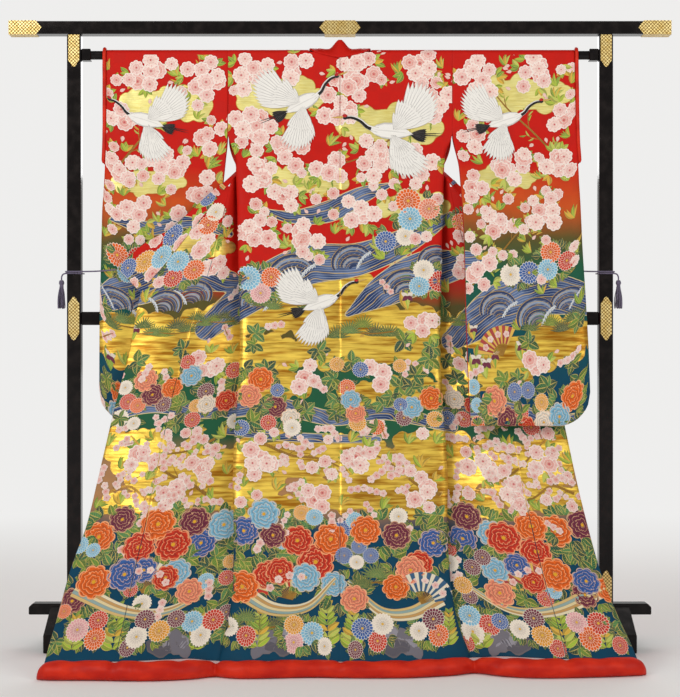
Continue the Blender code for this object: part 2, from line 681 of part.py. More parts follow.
def front_plan(side, z, stations):
    """Plan of a front panel at one height: from its side, in behind the back to a fold,
    and out again to its seam. The fold takes up the width that the seam doesn't use."""
    side_x, side_forward = side_seam(side, z)
    free = ease(OPENING_Z, JOIN_Z, z)
    side_x = (1 - free) * side_x + free * (BODY_WIDTH - GAP / 2)
    side_forward = (1 - free) * side_forward - free * RIDGE - OPENING_SAG * free * (1 - free)
    seam_x, seam_forward = seam_line(side, z)
    grown = ease(HANG_TOP, 1.40, z)
    width = (1 - grown) * (BODY_WIDTH - NECK_HALF) + grown * FRONT_WIDTH
    spread = ease(0.32, 0.16, z)  # near the hem the cloth lies open, with no fold
    width = (1 - spread) * width + spread * (seam_x - side_x)
    fold_x = min((side_x + seam_x - width) / 2, side_x, seam_x)
    reach = min(side_x - fold_x, seam_x - fold_x)
    step = LAYER_STEP * min(1.0, reach / 0.03)
    fold = np.array([fold_x, side_forward - step / 2])
    behind_x = min(side_x, seam_x)
    behind = np.array([behind_x, side_forward - step if seam_x > side_x else seam_forward])
    start, end = np.array([side_x, side_forward]), np.array([seam_x, seam_forward])
    turn = np.array([0, 0.55 * step])
    onwards = side_tangent(z) * (1 - free) + np.array([-1, 0]) * free
    folded = min(1.0, (side_x - fold_x) / 0.03)
    lead = onwards * 0.012 * folded
    lead_out = onwards * 0.030 * (1 - folded)
    inwards = np.array([(side_x - fold_x) / 3, 0])
    outwards = np.array([(behind_x - fold_x) / 3, 0])
    last = (seam_x - behind_x) / 3
    path = np.vstack([
        bezier([start, start + lead, fold + turn * 0.9 + inwards * 0.05, fold], 40),
        bezier([fold, fold - turn * 0.9 + outwards * 0.05, behind - outwards, behind], 40)[1:],
        bezier([behind, behind + [last * folded, 0] + lead_out, end - [last, 0], end], 40)[1:],
    ])
    lengths = np.linalg.norm(np.diff(path, axis=0), axis=1)
    total = lengths.sum()
    at_fold = max(lengths[:39].sum(), 0.035)
    at_fold = min(at_fold, total - 0.035)
    first, near, after = stations
    places = np.concatenate([first * (at_fold - near[0]), at_fold + near[1:-1]])
    start_after = at_fold + near[-1]
    places = np.concatenate([places, start_after + after * (total - start_after - GAP / 2)])
    places[:2] = SIDE_SEAM, SIDE_SEAM + 0.005
    return along(path, places)


FRONT_STATIONS = (
    np.array([0, 0.06, 0.5, 1]),
    np.array([0.015, -0.007, 0, 0.007, 0.015]),
    np.linspace(0, 1, 6),
)


def build_front(side, word):
    """Front panel: behind the back at the top, folded at the arm, then drawn outwards."""
    grid = ridge_rows(side, front_plan(side, ROWS[0], FRONT_STATIONS)[:, 0], -1)
    for z in ROWS:
        plan = front_plan(side, z, FRONT_STATIONS)
        grid.append(world(side * plan[:, 0], plan[:, 1], row_height(side * plan[:, 0], z)))
    cloth("front_" + word, np.array(grid), BROCADE, outwards=side == RIGHT)


def build_okumi(side, word):
    """Okumi: the narrow gore between the front panel and the front edge."""
    grid = []
    for z in [OKUMI_TOP, *[row for row in ROWS if row < OKUMI_TOP]]:
        seam_x, seam_forward = front_line(side, z, "seam")
        edge_x, edge_forward = front_line(side, z, "edge")
        t = np.linspace(0, 1, 5)
        bow = 0.006 * np.sin(math.pi * t) * ease(OKUMI_TOP, 1.0, z)
        x = (1 - t) * (seam_x + GAP * 2.5) + t * (edge_x - GAP / 2)
        forward = (1 - t) * seam_forward + t * edge_forward + bow
        blend = with_hem(side * x, 0, 0, z)
        ends = (1 - t) * blend[0] + t * blend[-1]
        grid.append(world(side * x, forward + blend - ends, row_height(side * x, z)))
    cloth("okumi_" + word, np.array(grid), BROCADE_GOLD, outwards=side == LEFT)


def sleeve_point(table, a, z, bottom, layer):
    """One point of a sleeve: a runs from the inner to the outer edge, and layer is 1 on
    the viewer's side and -1 on the far side."""
    inner, outer = smooth(table, "inner", z), smooth(table, "outer", z)
    forward = (1 - a) * smooth(table, "inner_forward", z) + a * smooth(table, "outer_forward", z)
    hollow = 2 * RIDGE + (SLEEVE_GAP - 2 * RIDGE) * ease(HANG_TOP, 1.45, z)
    middle = forward - hollow / 2
    rim = np.clip((a - 0.80) / 0.20, 0, 1)
    closed = ease(CUFF_BOTTOM + 0.005, CUFF_BOTTOM - 0.05, z)
    hem = np.clip(1 - (z - bottom) / 0.055, 0, 1)
    open_share = (1 - closed * (1 - np.sqrt(1 - rim**2))) * np.sqrt(1 - hem**2)
    half = SLEEVE_PINCH / 2 + (hollow - SLEEVE_PINCH) / 2 * open_share
    return world((1 - a) * inner + a * outer, middle + layer * half, z)


SLEEVE_STATIONS = np.array([0, 0.2, 0.4, 0.6, 0.76, 0.88, 0.96, 1.0])
SLEEVE_ROWS = np.array(
    [0, 0.06, 0.13, 0.21, 0.25, 0.29, 0.34, 0.42, 0.50, 0.58, 0.66, 0.74, 0.82, 0.90, 0.95, 0.985, 1.0]
)


def build_sleeve(side, word, table):
    """Sleeve: one strip folded over the pole, sewn round its outer lower corner."""
    bottoms = []
    for a in SLEEVE_STATIONS:
        low = table[-1]
        from_edge = (1 - a) * (low.outer - low.inner)
        rise = SLEEVE_CORNER - math.sqrt(SLEEVE_CORNER**2 - max(0, SLEEVE_CORNER - from_edge) ** 2)
        bottoms.append(low.z + rise)
    columns = []
    for a, bottom in zip(SLEEVE_STATIONS, bottoms):
        heights = HANG_TOP - SLEEVE_ROWS * (HANG_TOP - bottom)
        near = [sleeve_point(table, a, z, bottom, 1) for z in heights[::-1]]
        far = [sleeve_point(table, a, z, bottom, -1) for z in heights]
        x = near[-1][0]
        angle = np.radians(np.linspace(90, -90, 2 * RIDGE_STEPS + 1))[1:-1]
        over = world(x, RIDGE * np.sin(angle), HANG_TOP + RIDGE * np.cos(angle))
        columns.append(np.vstack([near, over, far]))
    grid = np.array(columns).transpose(1, 0, 2)
    grid[..., 0] = np.sign(side) * np.maximum(grid[..., 0], BODY_WIDTH + GAP / 2)
    cloth("sleeve_" + word, grid, BROCADE, outwards=side == RIGHT)


def tube_rings(path, radius, sides, across=None):
    """Rings of a round tube along a path of points."""
    tangent = np.gradient(path, axis=0)
    tangent /= np.linalg.norm(tangent, axis=1)[:, None]
    up = np.broadcast_to(across if across is not None else (1.0, 0, 0), path.shape)
    side_way = up - (up * tangent).sum(1)[:, None] * tangent
    side_way /= np.linalg.norm(side_way, axis=1)[:, None]
    other = np.cross(tangent, side_way)
    angle = np.linspace(0, 2 * math.pi, sides, endpoint=False)
    ring = np.cos(angle)[None, :, None] * side_way[:, None] + np.sin(angle)[None, :, None] * other[:, None]
    return path[:, None] + radius * ring


def build_cuff_roll(side, word, table):
    """Thin red roll of lining along the open cuff, over the pole and down both layers."""
    heights = np.linspace(CUFF_BOTTOM + 0.012, HANG_TOP, 7)
    offset = side * (CUFF_ROLL / 2 + GAP)
    rim = SLEEVE_STATIONS[-1]
    sideways = np.array([side, 1, 1])
    near = np.array([sleeve_point(table, rim, z, 0, 1) for z in heights]) * sideways
    far = np.array([sleeve_point(table, rim, z, 0, -1) for z in heights[::-1]]) * sideways
    angle = np.radians(np.linspace(90, -90, 8))[1:-1]
    over = world(near[-1][0], RIDGE * np.sin(angle), HANG_TOP + RIDGE * np.cos(angle))
    path = np.vstack([near, over, far]) + [offset, 0, 0]
    # the roll is thicker than the cloth, so it rides further out round the pole
    away = path - world(path[:, 0], 0, HANG_TOP)
    reach = np.hypot(away[:, 1], np.clip(away[:, 2], 0, None))
    ride = ease(CUFF_BOTTOM, HANG_TOP - 0.03, path[:, 2]) * (CUFF_ROLL - WALL) / 2
    path[:, 1] += away[:, 1] / reach * ride
    path[:, 2] += np.clip(away[:, 2], 0, None) / reach * ride
    ringed("cuff_roll_" + word, tube_rings(path, CUFF_ROLL / 2, 7), RED_SILK)


def collar_half(side):
    """Seam points, and ways in which the band stands, from a front end up to the nape."""
    seam, ways, widths, starts = [], [], [], []
    for z in [row for row in ROWS[::-1] if row >= COLLAR_END]:
        if z <= FRONT_LINES[0].z:
            x, forward = front_line(side, z, "edge")
        else:
            x, forward = smooth(NECKLINE, "x", z), smooth(NECKLINE, "forward", z)
        way = np.array([smooth(COLLAR_BAND, c, z) for c in ("out", "forward", "up")])
        seam.append((x, forward, z))
        ways.append(way / np.linalg.norm(way))
        widths.append(smooth(COLLAR_BAND, "width", z))
        starts.append(smooth(COLLAR_BAND, "start", z))
    clear = RIDGE + 0.0024
    lift = HANG_TOP + 0.0024
    crossing = [
        ((0.0835, -0.0110, lift + 0.0095), (-0.32, -0.94, 0.20), 0.052),
        ((0.0815, 0.0, lift + RIDGE + 0.001), (-0.35, -0.90, 0.30), 0.052),
        ((0.072, clear * 0.80, lift + 0.0065), (-0.20, -0.80, 0.56), 0.049),
        ((0.055, clear, lift + 0.0015), (-0.10, -0.46, 0.88), 0.047),
        ((0.030, clear, lift), (-0.03, -0.40, 0.92), 0.046),
        ((0.012, clear, lift), (0.0, -0.25, 0.97), 0.046),
    ]
    for point, way, width in crossing:
        seam.append(point)
        ways.append(np.array(way) / np.linalg.norm(way))
        widths.append(width)
        starts.append(GAP)
    return np.array(seam), np.array(ways), np.array(widths), np.array(starts)


def build_collar():
    """Collar: one long band from front end to front end round the neck."""
    columns = []
    for side in (LEFT, RIGHT):
        seam, ways, widths, starts = collar_half(side)
        line = []
        for share in (0.0, 1 / 3, 2 / 3, 1.0):
            out = starts + share * widths
            at = seam + out[:, None] * ways
            line.append(world(side * at[:, 0], at[:, 1], at[:, 2]))
        columns.append(np.array(line).transpose(1, 0, 2))
    left, right = columns
    nape = (left[-1:] + right[-1:]) / 2
    grid = np.vstack([left, nape, right[::-1]])
    cloth("collar", grid, BROCADE, wall=COLLAR_WALL)


def build_hem():
    """Padded hem roll that lies on the floor, flat underneath, round on top."""
    table = np.array(HEM_ROLL)
    path = spline(table[:, :2], 49)
    path[0], path[-1] = table[0, :2], table[-1, :2]
    height, depth = smooth(HEM_ROLL, "height", path[:, 0]), smooth(HEM_ROLL, "depth", path[:, 0])
    tangent = np.gradient(path, axis=0)
    tangent /= np.linalg.norm(tangent, axis=1)[:, None]
    across = np.stack([-tangent[:, 1], tangent[:, 0]], 1)
    # half an ellipse above, flattened below
    angle = np.radians([0, 32, 62, 90, 118, 148, 180, 222, 250, 290, 318])
    side_way = np.cos(angle)
    up = np.where(np.sin(angle) >= 0, 0.42 + 0.58 * np.sin(angle), 0.42 + 0.42 * np.sin(angle) / 0.94)
    up = np.clip(up, 0, None)
    place = path[:, None] + side_way[None, :, None] * (depth / 2)[:, None, None] * across[:, None]
    rings = world(place[..., 0], place[..., 1], up[None] * height[:, None])
    ringed("padded_hem", rings, RED_SILK)


# -------------------------------------------------------------------- cords and tassels
CORD = 0.0040
TASSEL_LENGTH = 0.082
TASSEL_RADIUS = 0.0125
TIE_Z = 1.016


def cord_route(side, start_forward):
    """Hand-set points of a tie: from the collar's corner, one and a half turns round the
    post, down to its tassel."""
    post = POST_SPACING / 2
    clear = POST_DEPTH / 2 + CORD / 2 + 0.0018
    inner, outer = post - clear, post + clear
    return [
        (side * 0.6030, start_forward, TIE_Z + 0.0050),
        (side * 0.6250, start_forward - 0.0090, TIE_Z + 0.0035),
        (side * 0.6560, 0.0500 if side == LEFT else 0.0480, TIE_Z + 0.0022),
        (side * 0.6840, 0.0345, TIE_Z + 0.0020),
        (side * (inner + 0.004), clear + 0.0015, TIE_Z + 0.0022),
        (side * post, clear, TIE_Z + 0.0022),
        (side * (outer - 0.004), clear - 0.001, TIE_Z + 0.0022),
        (side * outer, clear - 0.008, TIE_Z + 0.0022),
        (side * outer, 0.0, TIE_Z + 0.0015),
        (side * outer, -clear + 0.005, TIE_Z + 0.0008),
        (side * (outer - 0.005), -clear, TIE_Z + 0.0002),
        (side * post, -clear, TIE_Z - 0.0008),
        (side * (inner + 0.005), -clear, TIE_Z - 0.0016),
        (side * inner, -clear + 0.005, TIE_Z - 0.0022),
        (side * inner, 0.0, TIE_Z - 0.0026),
        (side * inner, clear - 0.006, TIE_Z - 0.0026),
        (side * (inner + 0.005), clear - 0.0005, TIE_Z - 0.0026),
        (side * post, clear, TIE_Z - 0.0026),
        (side * (outer - 0.004), clear + 0.0005, TIE_Z - 0.0028),
        (side * (outer + 0.006), clear - 0.003, TIE_Z - 0.0050),
        (side * (outer + 0.0105), clear - 0.006, TIE_Z - 0.0120),
        (side * (outer + 0.0110), clear - 0.007, TIE_Z - 0.0200),
    ]


def build_cord(side, word, start_forward):
    route = np.array(cord_route(side, start_forward))
    points = spline(route, 44)
    curve = bpy.data.curves.new("tie_cord_" + word, "CURVE")
    curve.dimensions = "3D"
    curve.bevel_depth = CORD / 2
    curve.bevel_resolution = 2
    curve.use_fill_caps = True
    line = curve.splines.new("POLY")
    line.points.add(len(points) - 1)
    for target, (x, forward, z) in zip(line.points, points):
        target.co = (x, POST_Y - forward, z, 1)
    add("tie_cord_" + word, curve, PURPLE)
    build_tassel(side, word, route[-1])


def build_tassel(side, word, top):
    """Tassel: a bound head and a skirt of threads, as one turned solid."""
    x, forward, z = top
    profile_points = [(0.0, 0.0), (0.0052, -0.0012), (0.0072, -0.0080), (0.0052, -0.0145)]
    profile_points += [(0.0090, -0.0260), (TASSEL_RADIUS, -TASSEL_LENGTH + 0.004)]
    profile_points += [(TASSEL_RADIUS - 0.001, -TASSEL_LENGTH), (0.0, -TASSEL_LENGTH)]
    name = "tassel_" + word
    mesh = bpy.data.meshes.new(name)
    edges = [(i, i + 1) for i in range(len(profile_points) - 1)]
    mesh.from_pydata([(radius, 0, height) for radius, height in profile_points], edges, [])
    tassel = add(name, mesh, PURPLE)
    tassel.location = (x, POST_Y - forward, z - GAP)
    screw = tassel.modifiers.new("turn", "SCREW")
    screw.steps = 12
    screw.render_steps = 12
    screw.use_merge_vertices = True
    screw.merge_threshold = 0.00001
    screw.use_normal_calculate = True


# -------------------------------------------------------------------------- assembly
build_beam()
build_posts()
build_rails()
build_pole()
build_feet()
build_post_plates()
for way, side_word, sleeve_table in ((LEFT, "left", SLEEVE_LEFT), (RIGHT, "right", SLEEVE_RIGHT)):
    build_back(way, side_word)
    build_front(way, side_word)
    build_okumi(way, side_word)
    build_sleeve(way, side_word, sleeve_table)
    build_cuff_roll(way, side_word, sleeve_table)
build_collar()
build_hem()
build_cord(LEFT, "left", 0.0790)
build_cord(RIGHT, "right", 0.0690)
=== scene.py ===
"""Looks of a bridal uchikake, hung with its back outwards on a lacquered kimono rack."""

import math
from collections import namedtuple
from functools import partialmethod

import bpy
import numpy as np
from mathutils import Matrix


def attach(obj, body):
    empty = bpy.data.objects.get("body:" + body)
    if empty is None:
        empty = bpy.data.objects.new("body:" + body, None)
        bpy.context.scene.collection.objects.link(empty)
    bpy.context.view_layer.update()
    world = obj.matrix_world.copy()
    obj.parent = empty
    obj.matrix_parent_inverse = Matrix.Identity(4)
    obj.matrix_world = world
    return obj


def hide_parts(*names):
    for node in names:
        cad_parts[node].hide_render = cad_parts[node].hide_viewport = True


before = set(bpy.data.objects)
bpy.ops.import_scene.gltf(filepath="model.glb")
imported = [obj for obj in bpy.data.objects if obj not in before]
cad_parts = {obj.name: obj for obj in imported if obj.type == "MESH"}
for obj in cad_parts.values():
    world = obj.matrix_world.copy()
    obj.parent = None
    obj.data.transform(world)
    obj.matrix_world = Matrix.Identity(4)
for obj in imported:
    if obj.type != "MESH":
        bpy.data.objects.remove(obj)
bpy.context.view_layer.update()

# ---------------------------------------------------------------- camera, floor and light
# The rack stands on a pale studio floor under two large soft lamps and an even sky. The
# camera looks level and straight at the kimono's back, from five metres off.
POST_Y = 0.2096  # the posts' mid-plane
CAMERA_DISTANCE = 5.0
CAMERA_HEIGHT = 0.809
LENS = 94.52

camera = bpy.data.objects.new("camera", bpy.data.cameras.new("camera"))
camera.data.lens = LENS
camera.data.sensor_width = 36
camera.location = (0, POST_Y - CAMERA_DISTANCE, CAMERA_HEIGHT)
camera.rotation_euler = (math.radians(90), 0, 0)
bpy.context.scene.collection.objects.link(camera)
bpy.context.scene.camera = camera
bpy.context.scene.view_settings.view_transform = "Standard"


class Value:
    """A shader socket that adds a Math node for each operator used on it."""

    def __init__(self, finish, socket):
        self.finish, self.socket = finish, socket

    def math(self, operation, *others):
        return self.finish.node("Math", {"operation": operation}, [self, *others])

    def __rsub__(self, other):
        return self.finish.node("Math", {"operation": "SUBTRACT"}, [other, self])

    def step(self, low, high):
        """0 below low, 1 above high and a smooth step between; low may be the larger."""
        ends = [high, low, 1.0, 0.0] if low > high else [low, high, 0.0, 1.0]
        return self.finish.node("MapRange", {"interpolation_type": "SMOOTHSTEP"}, [self, *ends])


for methods, operation in {
    "__add__ __radd__": "ADD",
    "__sub__": "SUBTRACT",
    "__mul__ __rmul__": "MULTIPLY",
    "__truediv__": "DIVIDE",
    "sin": "SINE",
    "abs": "ABSOLUTE",
    "fract": "FRACT",
    "power": "POWER",
    "most": "MAXIMUM",
}.items():
    for method in methods.split():
        setattr(Value, method, partialmethod(Value.math, operation))


class Finish:
    """A material with its Principled shader; node() adds any other node to it."""

    def __init__(self, name, **constants):
        self.material = bpy.data.materials.new(name)
        self.material.use_nodes = True
        self.tree = self.material.node_tree
        self.shader = self.tree.nodes["Principled BSDF"]
        for socket, value in constants.items():
            self.shader.inputs[socket.replace("_", " ")].default_value = value

    def node(self, kind, settings=None, inputs=(), output=0):
        """Adds a node: its settings first, then the values or links of its sockets."""
        node = self.tree.nodes.new("ShaderNode" + kind)
        for key, value in (settings or {}).items():
            if key == "stops":
                ramp = node.color_ramp
                while len(ramp.elements) < len(value):
                    ramp.elements.new(1.0)
                for element, (place, colour) in zip(ramp.elements, value):
                    element.position, element.color = place, colour
            else:
                setattr(node, key, value)
        pairs = inputs.items() if isinstance(inputs, dict) else enumerate(inputs)
        for key, value in pairs:
            if isinstance(value, Value):
                self.tree.links.new(value.socket, node.inputs[key])
            else:
                node.inputs[key].default_value = value
        return Value(self, node.outputs[output])

    def mix(self, share, first, second, way="MIX"):
        """Colour between two colours."""
        settings = {"data_type": "RGBA", "blend_type": way}
        return self.node("Mix", settings, {0: share, 6: first, 7: second}, 2)

    def coordinates(self, output="Object"):
        return self.node("TexCoord", {}, (), output)

    def split(self, vector):
        """The x, y and z values of a vector."""
        node = self.node("SeparateXYZ", {}, [vector]).socket.node
        return [Value(self, socket) for socket in node.outputs]

    def noise(self, vector, scale, detail=2.0):
        return self.node("TexNoise", {}, {"Vector": vector, "Scale": scale, "Detail": detail})

    def streaks(self, vector, scale, detail=2.0):
        """Noise with a scale of its own along each axis."""
        stretched = self.node("VectorMath", {"operation": "MULTIPLY"}, [vector, scale])
        return self.noise(stretched, 1.0, detail)

    def bump(self, height, distance, strength=1.0):
        inputs = {"Height": height, "Distance": distance, "Strength": strength}
        return self.node("Bump", {}, inputs)

    def paint(self, **links):
        """Links values to sockets of the Principled shader."""
        for socket, value in links.items():
            self.tree.links.new(value.socket, self.shader.inputs[socket.replace("_", " ")])
        return self.material


def srgb(red, green, blue):
    """A colour given in 0 to 255 as seen on a screen, as linear light."""
    share = np.array([red, green, blue]) / 255
    linear = np.where(share < 0.04045, share / 12.92, ((share + 0.055) / 1.055) ** 2.4)
    return (*linear.tolist(), 1.0)


STUDIO = (0.86, 0.855, 0.845, 1)  # linear light seen around the floor
FLOOR_FADE = (1.7, 4.5)  # radii over which the floor turns into the background

FLOOR_HALF = 60  # its edges lie far out of sight
corners = [(x * FLOOR_HALF, y * FLOOR_HALF, 0) for x, y in ((-1, -1), (1, -1), (1, 1), (-1, 1))]
floor = bpy.data.objects.new("studio_floor", bpy.data.meshes.new("studio_floor"))
floor.data.from_pydata(corners, [], [(0, 1, 2, 3)])
bpy.context.scene.collection.objects.link(floor)
ground = Finish("studio_floor", Roughness=0.9, Base_Color=(0.93, 0.915, 0.90, 1))
radius = ground.node("VectorMath", {"operation": "LENGTH"}, [ground.coordinates()], 1)
near_floor = Value(ground, ground.shader.outputs[0])
far_floor = ground.node("Emission", {}, [STUDIO, 1.0])
faded = ground.node("MixShader", {}, [radius.step(*FLOOR_FADE), near_floor, far_floor])
ground.tree.links.new(faded.socket, ground.tree.nodes["Material Output"].inputs[0])
floor.data.materials.append(ground.material)

# An even sky lights the cloth; seen directly it is the pale studio background.
SKY_LIGHT = 0.42
world = bpy.data.worlds.new("studio")
world.use_nodes = True
bpy.context.scene.world = world
sky = world.node_tree.nodes["Background"]
sky.inputs["Color"].default_value = (1.0, 0.985, 0.965, 1)
sky.inputs["Strength"].default_value = SKY_LIGHT
seen = world.node_tree.nodes.new("ShaderNodeBackground")
seen.inputs["Color"].default_value = STUDIO
ray = world.node_tree.nodes.new("ShaderNodeLightPath")
either = world.node_tree.nodes.new("ShaderNodeMixShader")
for socket, source in enumerate((ray.outputs["Is Camera Ray"], sky.outputs[0], seen.outputs[0])):
    world.node_tree.links.new(source, either.inputs[socket])
world.node_tree.links.new(either.outputs[0], world.node_tree.nodes["World Output"].inputs[0])

AIM = (0, 0, 0.85)  # where every lamp points: the middle of the robe
Lamp = namedtuple("Lamp", "name place size power")
for lamp in (
    Lamp("key_softbox", (-2.6, -3.6, 2.9), 2.2, 78),
    Lamp("fill_softbox", (2.9, -3.4, 2.1), 2.4, 42),
    Lamp("back_softbox", (0.4, 3.6, 2.8), 2.6, 55),
):
    light = bpy.data.objects.new(lamp.name, bpy.data.lights.new(lamp.name, "AREA"))
    light.data.size, light.data.energy = lamp.size, lamp.power
    away = np.array(AIM) - lamp.place
    light.location = lamp.place
    tilt = math.atan2(math.hypot(away[0], away[1]), -away[2])
    light.rotation_euler = (tilt, 0, math.atan2(away[1], away[0]) - math.radians(90))
    bpy.context.scene.collection.objects.link(light)


# ---------------------------------------------------------------------- cords and tassels
# Each drawn-out front is held by a braided silk cord, four millimetres thick. It leaves the
# collar's corner, goes round its post one and a half times, and ends in a bound tassel.
POST_SPACING, POST_DEPTH = 1.449, 0.038
CORD, CORD_CLEAR = 0.0040, 0.0018  # its diameter, and its gap to the post
TASSEL_LENGTH, TASSEL_RADIUS = 0.0792, 0.0125
TIE_Z = 1.016  # height of the turns round the post
LEFT, RIGHT = -1, 1
WORDS = {LEFT: "left", RIGHT: "right"}


def piece(name, points, faces, *finishes, slot=None, replaces=()):
    """A new object from points and faces, riding on the root and standing for CAD nodes."""
    mesh = bpy.data.meshes.new(name)
    mesh.from_pydata(np.reshape(points, (-1, 3)).tolist(), [], faces)
    made = bpy.data.objects.new(name, mesh)
    bpy.context.scene.collection.objects.link(made)
    for finish in finishes:
        mesh.materials.append(finish)
    mesh.shade_smooth()
    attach(made, "root")
    if replaces:
        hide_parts(*replaces)
    return made


def world_points(x, forward, z):
    """Points from distance sideways, forward of the posts' plane, and height."""
    x, forward, z = np.broadcast_arrays(x, forward, z)
    return np.stack([x, POST_Y - forward, z], -1)


def steps(path):
    """Distances from each point of a polyline to its next."""
    return np.linalg.norm(np.diff(path, axis=0), axis=1)


def along(path, stations):
    """Points of a dense polyline at the given distances from its start."""
    distance = np.concatenate([[0], np.cumsum(steps(path))])
    return np.stack([np.interp(stations, distance, axis) for axis in path.T], 1)


def even(path, count):
    """The same line with its points at equal distances."""
    return along(path, np.linspace(0, steps(path).sum(), count))


def unit(vectors):
    """The same ways with length one."""
    return vectors / np.linalg.norm(vectors, axis=-1, keepdims=True)


def spline(points, count):
    """Catmull-Rom curve through points, read at equal distances."""
    p = np.array(points, float)
    p = np.vstack([2 * p[0] - p[1], p, 2 * p[-1] - p[-2]])
    t = np.linspace(0, 1, 12, endpoint=False)[None, :, None]
    before, start, end, after = (p[i : len(p) - 3 + i, None] for i in range(4))
    bend = 2 * before - 5 * start + 4 * end - after
    twist = 3 * start - before - 3 * end + after
    curve = 0.5 * (2 * start + (end - before) * t + bend * t**2 + twist * t**3)
    return even(np.vstack([curve.reshape(-1, p.shape[1]), p[-2:-1]]), count)


def grid_faces(rows, columns, closed=False):
    """Four-sided faces of a grid of points; closed joins the last column to the first."""
    index = np.arange(rows * columns).reshape(rows, columns)
    after = np.roll(index, -1, axis=1)
    quads = np.stack([index[:-1], after[:-1], after[1:], index[1:]], -1)
    return (quads if closed else quads[:, :-1]).reshape(-1, 4)


def round_angles(count):
    """Angles of points at equal distances round a circle."""
    return np.linspace(0, 2 * math.pi, count, endpoint=False)


def tube_rings(path, radius, sides):
    """Rings of a round tube along a path: a circle square to the path at each point."""
    tangent = unit(np.gradient(path, axis=0))
    across = np.array([1.0, 0, 0])
    side_way = unit(across - (across * tangent).sum(1)[:, None] * tangent)
    other = np.cross(tangent, side_way)
    angle = round_angles(sides)[:, None]
    ring = np.cos(angle) * side_way[:, None] + np.sin(angle) * other[:, None]
    return path[:, None] + np.reshape(radius, (-1, 1, 1)) * ring


def with_uv(made, u, v):
    """Gives a mesh a UV map from one pair of values for each point."""
    layer = made.data.uv_layers.new(name="cloth")
    corner = np.zeros(len(made.data.loops), int)
    made.data.loops.foreach_get("vertex_index", corner)
    layer.data.foreach_set("uv", np.stack([np.ravel(u)[corner], np.ravel(v)[corner]], 1).ravel())


def closed_rings(name, rings, *finishes, **kept):
    """A closed body through rings of points, flat at its two ends, with its faces outwards."""
    import bmesh

    count, sides = rings.shape[:2]
    faces = grid_faces(count, sides, closed=True)[:, ::-1].tolist()
    faces += [list(range(sides)), list(range(count * sides - 1, (count - 1) * sides - 1, -1))]
    made = piece(name, rings, faces, *finishes, **kept)
    form = bmesh.new()
    form.from_mesh(made.data)
    bmesh.ops.recalc_face_normals(form, faces=form.faces)
    form.to_mesh(made.data)
    form.free()
    return made


def cord_route(side, start_forward):
    """Points of a tie: from the collar's corner, one and a half turns round the
    post, down to its tassel."""
    post = POST_SPACING / 2
    clear = POST_DEPTH / 2 + CORD / 2 + CORD_CLEAR
    inner, outer = post - clear, post + clear
    route = [
        (0.6030, start_forward, 0.0050),
        (0.6250, start_forward - 0.0090, 0.0035),
        (0.6560, 0.0500 if side == LEFT else 0.0480, 0.0022),
        (0.6840, 0.0345, 0.0020),
        (inner + 0.004, clear + 0.0015, 0.0022),
        (post, clear, 0.0022),
        (outer - 0.004, clear - 0.001, 0.0022),
        (outer, clear - 0.008, 0.0022),
        (outer, 0.0, 0.0015),
        (outer, -clear + 0.005, 0.0008),
        (outer - 0.005, -clear, 0.0002),
        (post, -clear, -0.0008),
        (inner + 0.005, -clear, -0.0016),
        (inner, -clear + 0.005, -0.0022),
        (inner, 0.0, -0.0026),
        (inner, clear - 0.006, -0.0026),
        (inner + 0.005, clear - 0.0005, -0.0026),
        (post, clear, -0.0026),
        (outer - 0.004, clear + 0.0005, -0.0028),
        (outer + 0.006, clear - 0.003, -0.0050),
        (outer + 0.0105, clear - 0.006, -0.0120),
        (outer + 0.0110, clear - 0.007, -0.0200),
    ]
    return np.array(route) * [side, 1, 1] + [0, 0, TIE_Z]


# braided silk: two sets of ridges that cross as they wind round the cord; the colour is
# lighter on the ridges and darker in the grooves between them, which is painted shade
braid = Finish("purple_braid", Roughness=0.62, Sheen_Weight=0.3)
braid_along, braid_round, _ = braid.split(braid.coordinates("UV"))
lay_along, lay_round = braid_along * (2 * math.pi / 0.0042), braid_round * (4 * math.pi)
over, under = (lay_along + lay_round).sin(), (lay_along - lay_round).sin()
plait = over.most(under) * 0.5 + 0.5
PURPLE_DEEP, PURPLE_LIGHT = srgb(52, 44, 66), srgb(112, 100, 128)
BRAID = braid.paint(
    Base_Color=braid.mix(plait, PURPLE_DEEP, PURPLE_LIGHT),
    Normal=braid.bump(plait, 0.0006),
)
strand = Finish("purple_tassel_silk", Roughness=0.5, Sheen_Weight=0.4)
strand_tone = strand.streaks(strand.coordinates(), (900, 900, 12))
TASSEL_SILK = strand.paint(
    Base_Color=strand.mix(strand_tone.step(0.3, 0.7), PURPLE_DEEP, PURPLE_LIGHT),
    Normal=strand.bump(strand_tone, 0.0004),
)


# Half a section of the bound head: radius and height below the cord's end, in millimetres.
TASSEL_HEAD = [(0.6, 0), (4.4, -1), (6.2, -4), (7.1, -8.5), (6, -12.5), (5, -13.8), (5.8, -14.6)]
TASSEL_HEAD += [(5, -15.6), (5.8, -16.6), (5, -17.8), (6.4, -20), (0.6, -21.5)]
HEAD_RINGS, HEAD_SIDES = 34, 28
STRANDS, STRAND_POINTS, STRAND_SIDES = 70, 9, 5


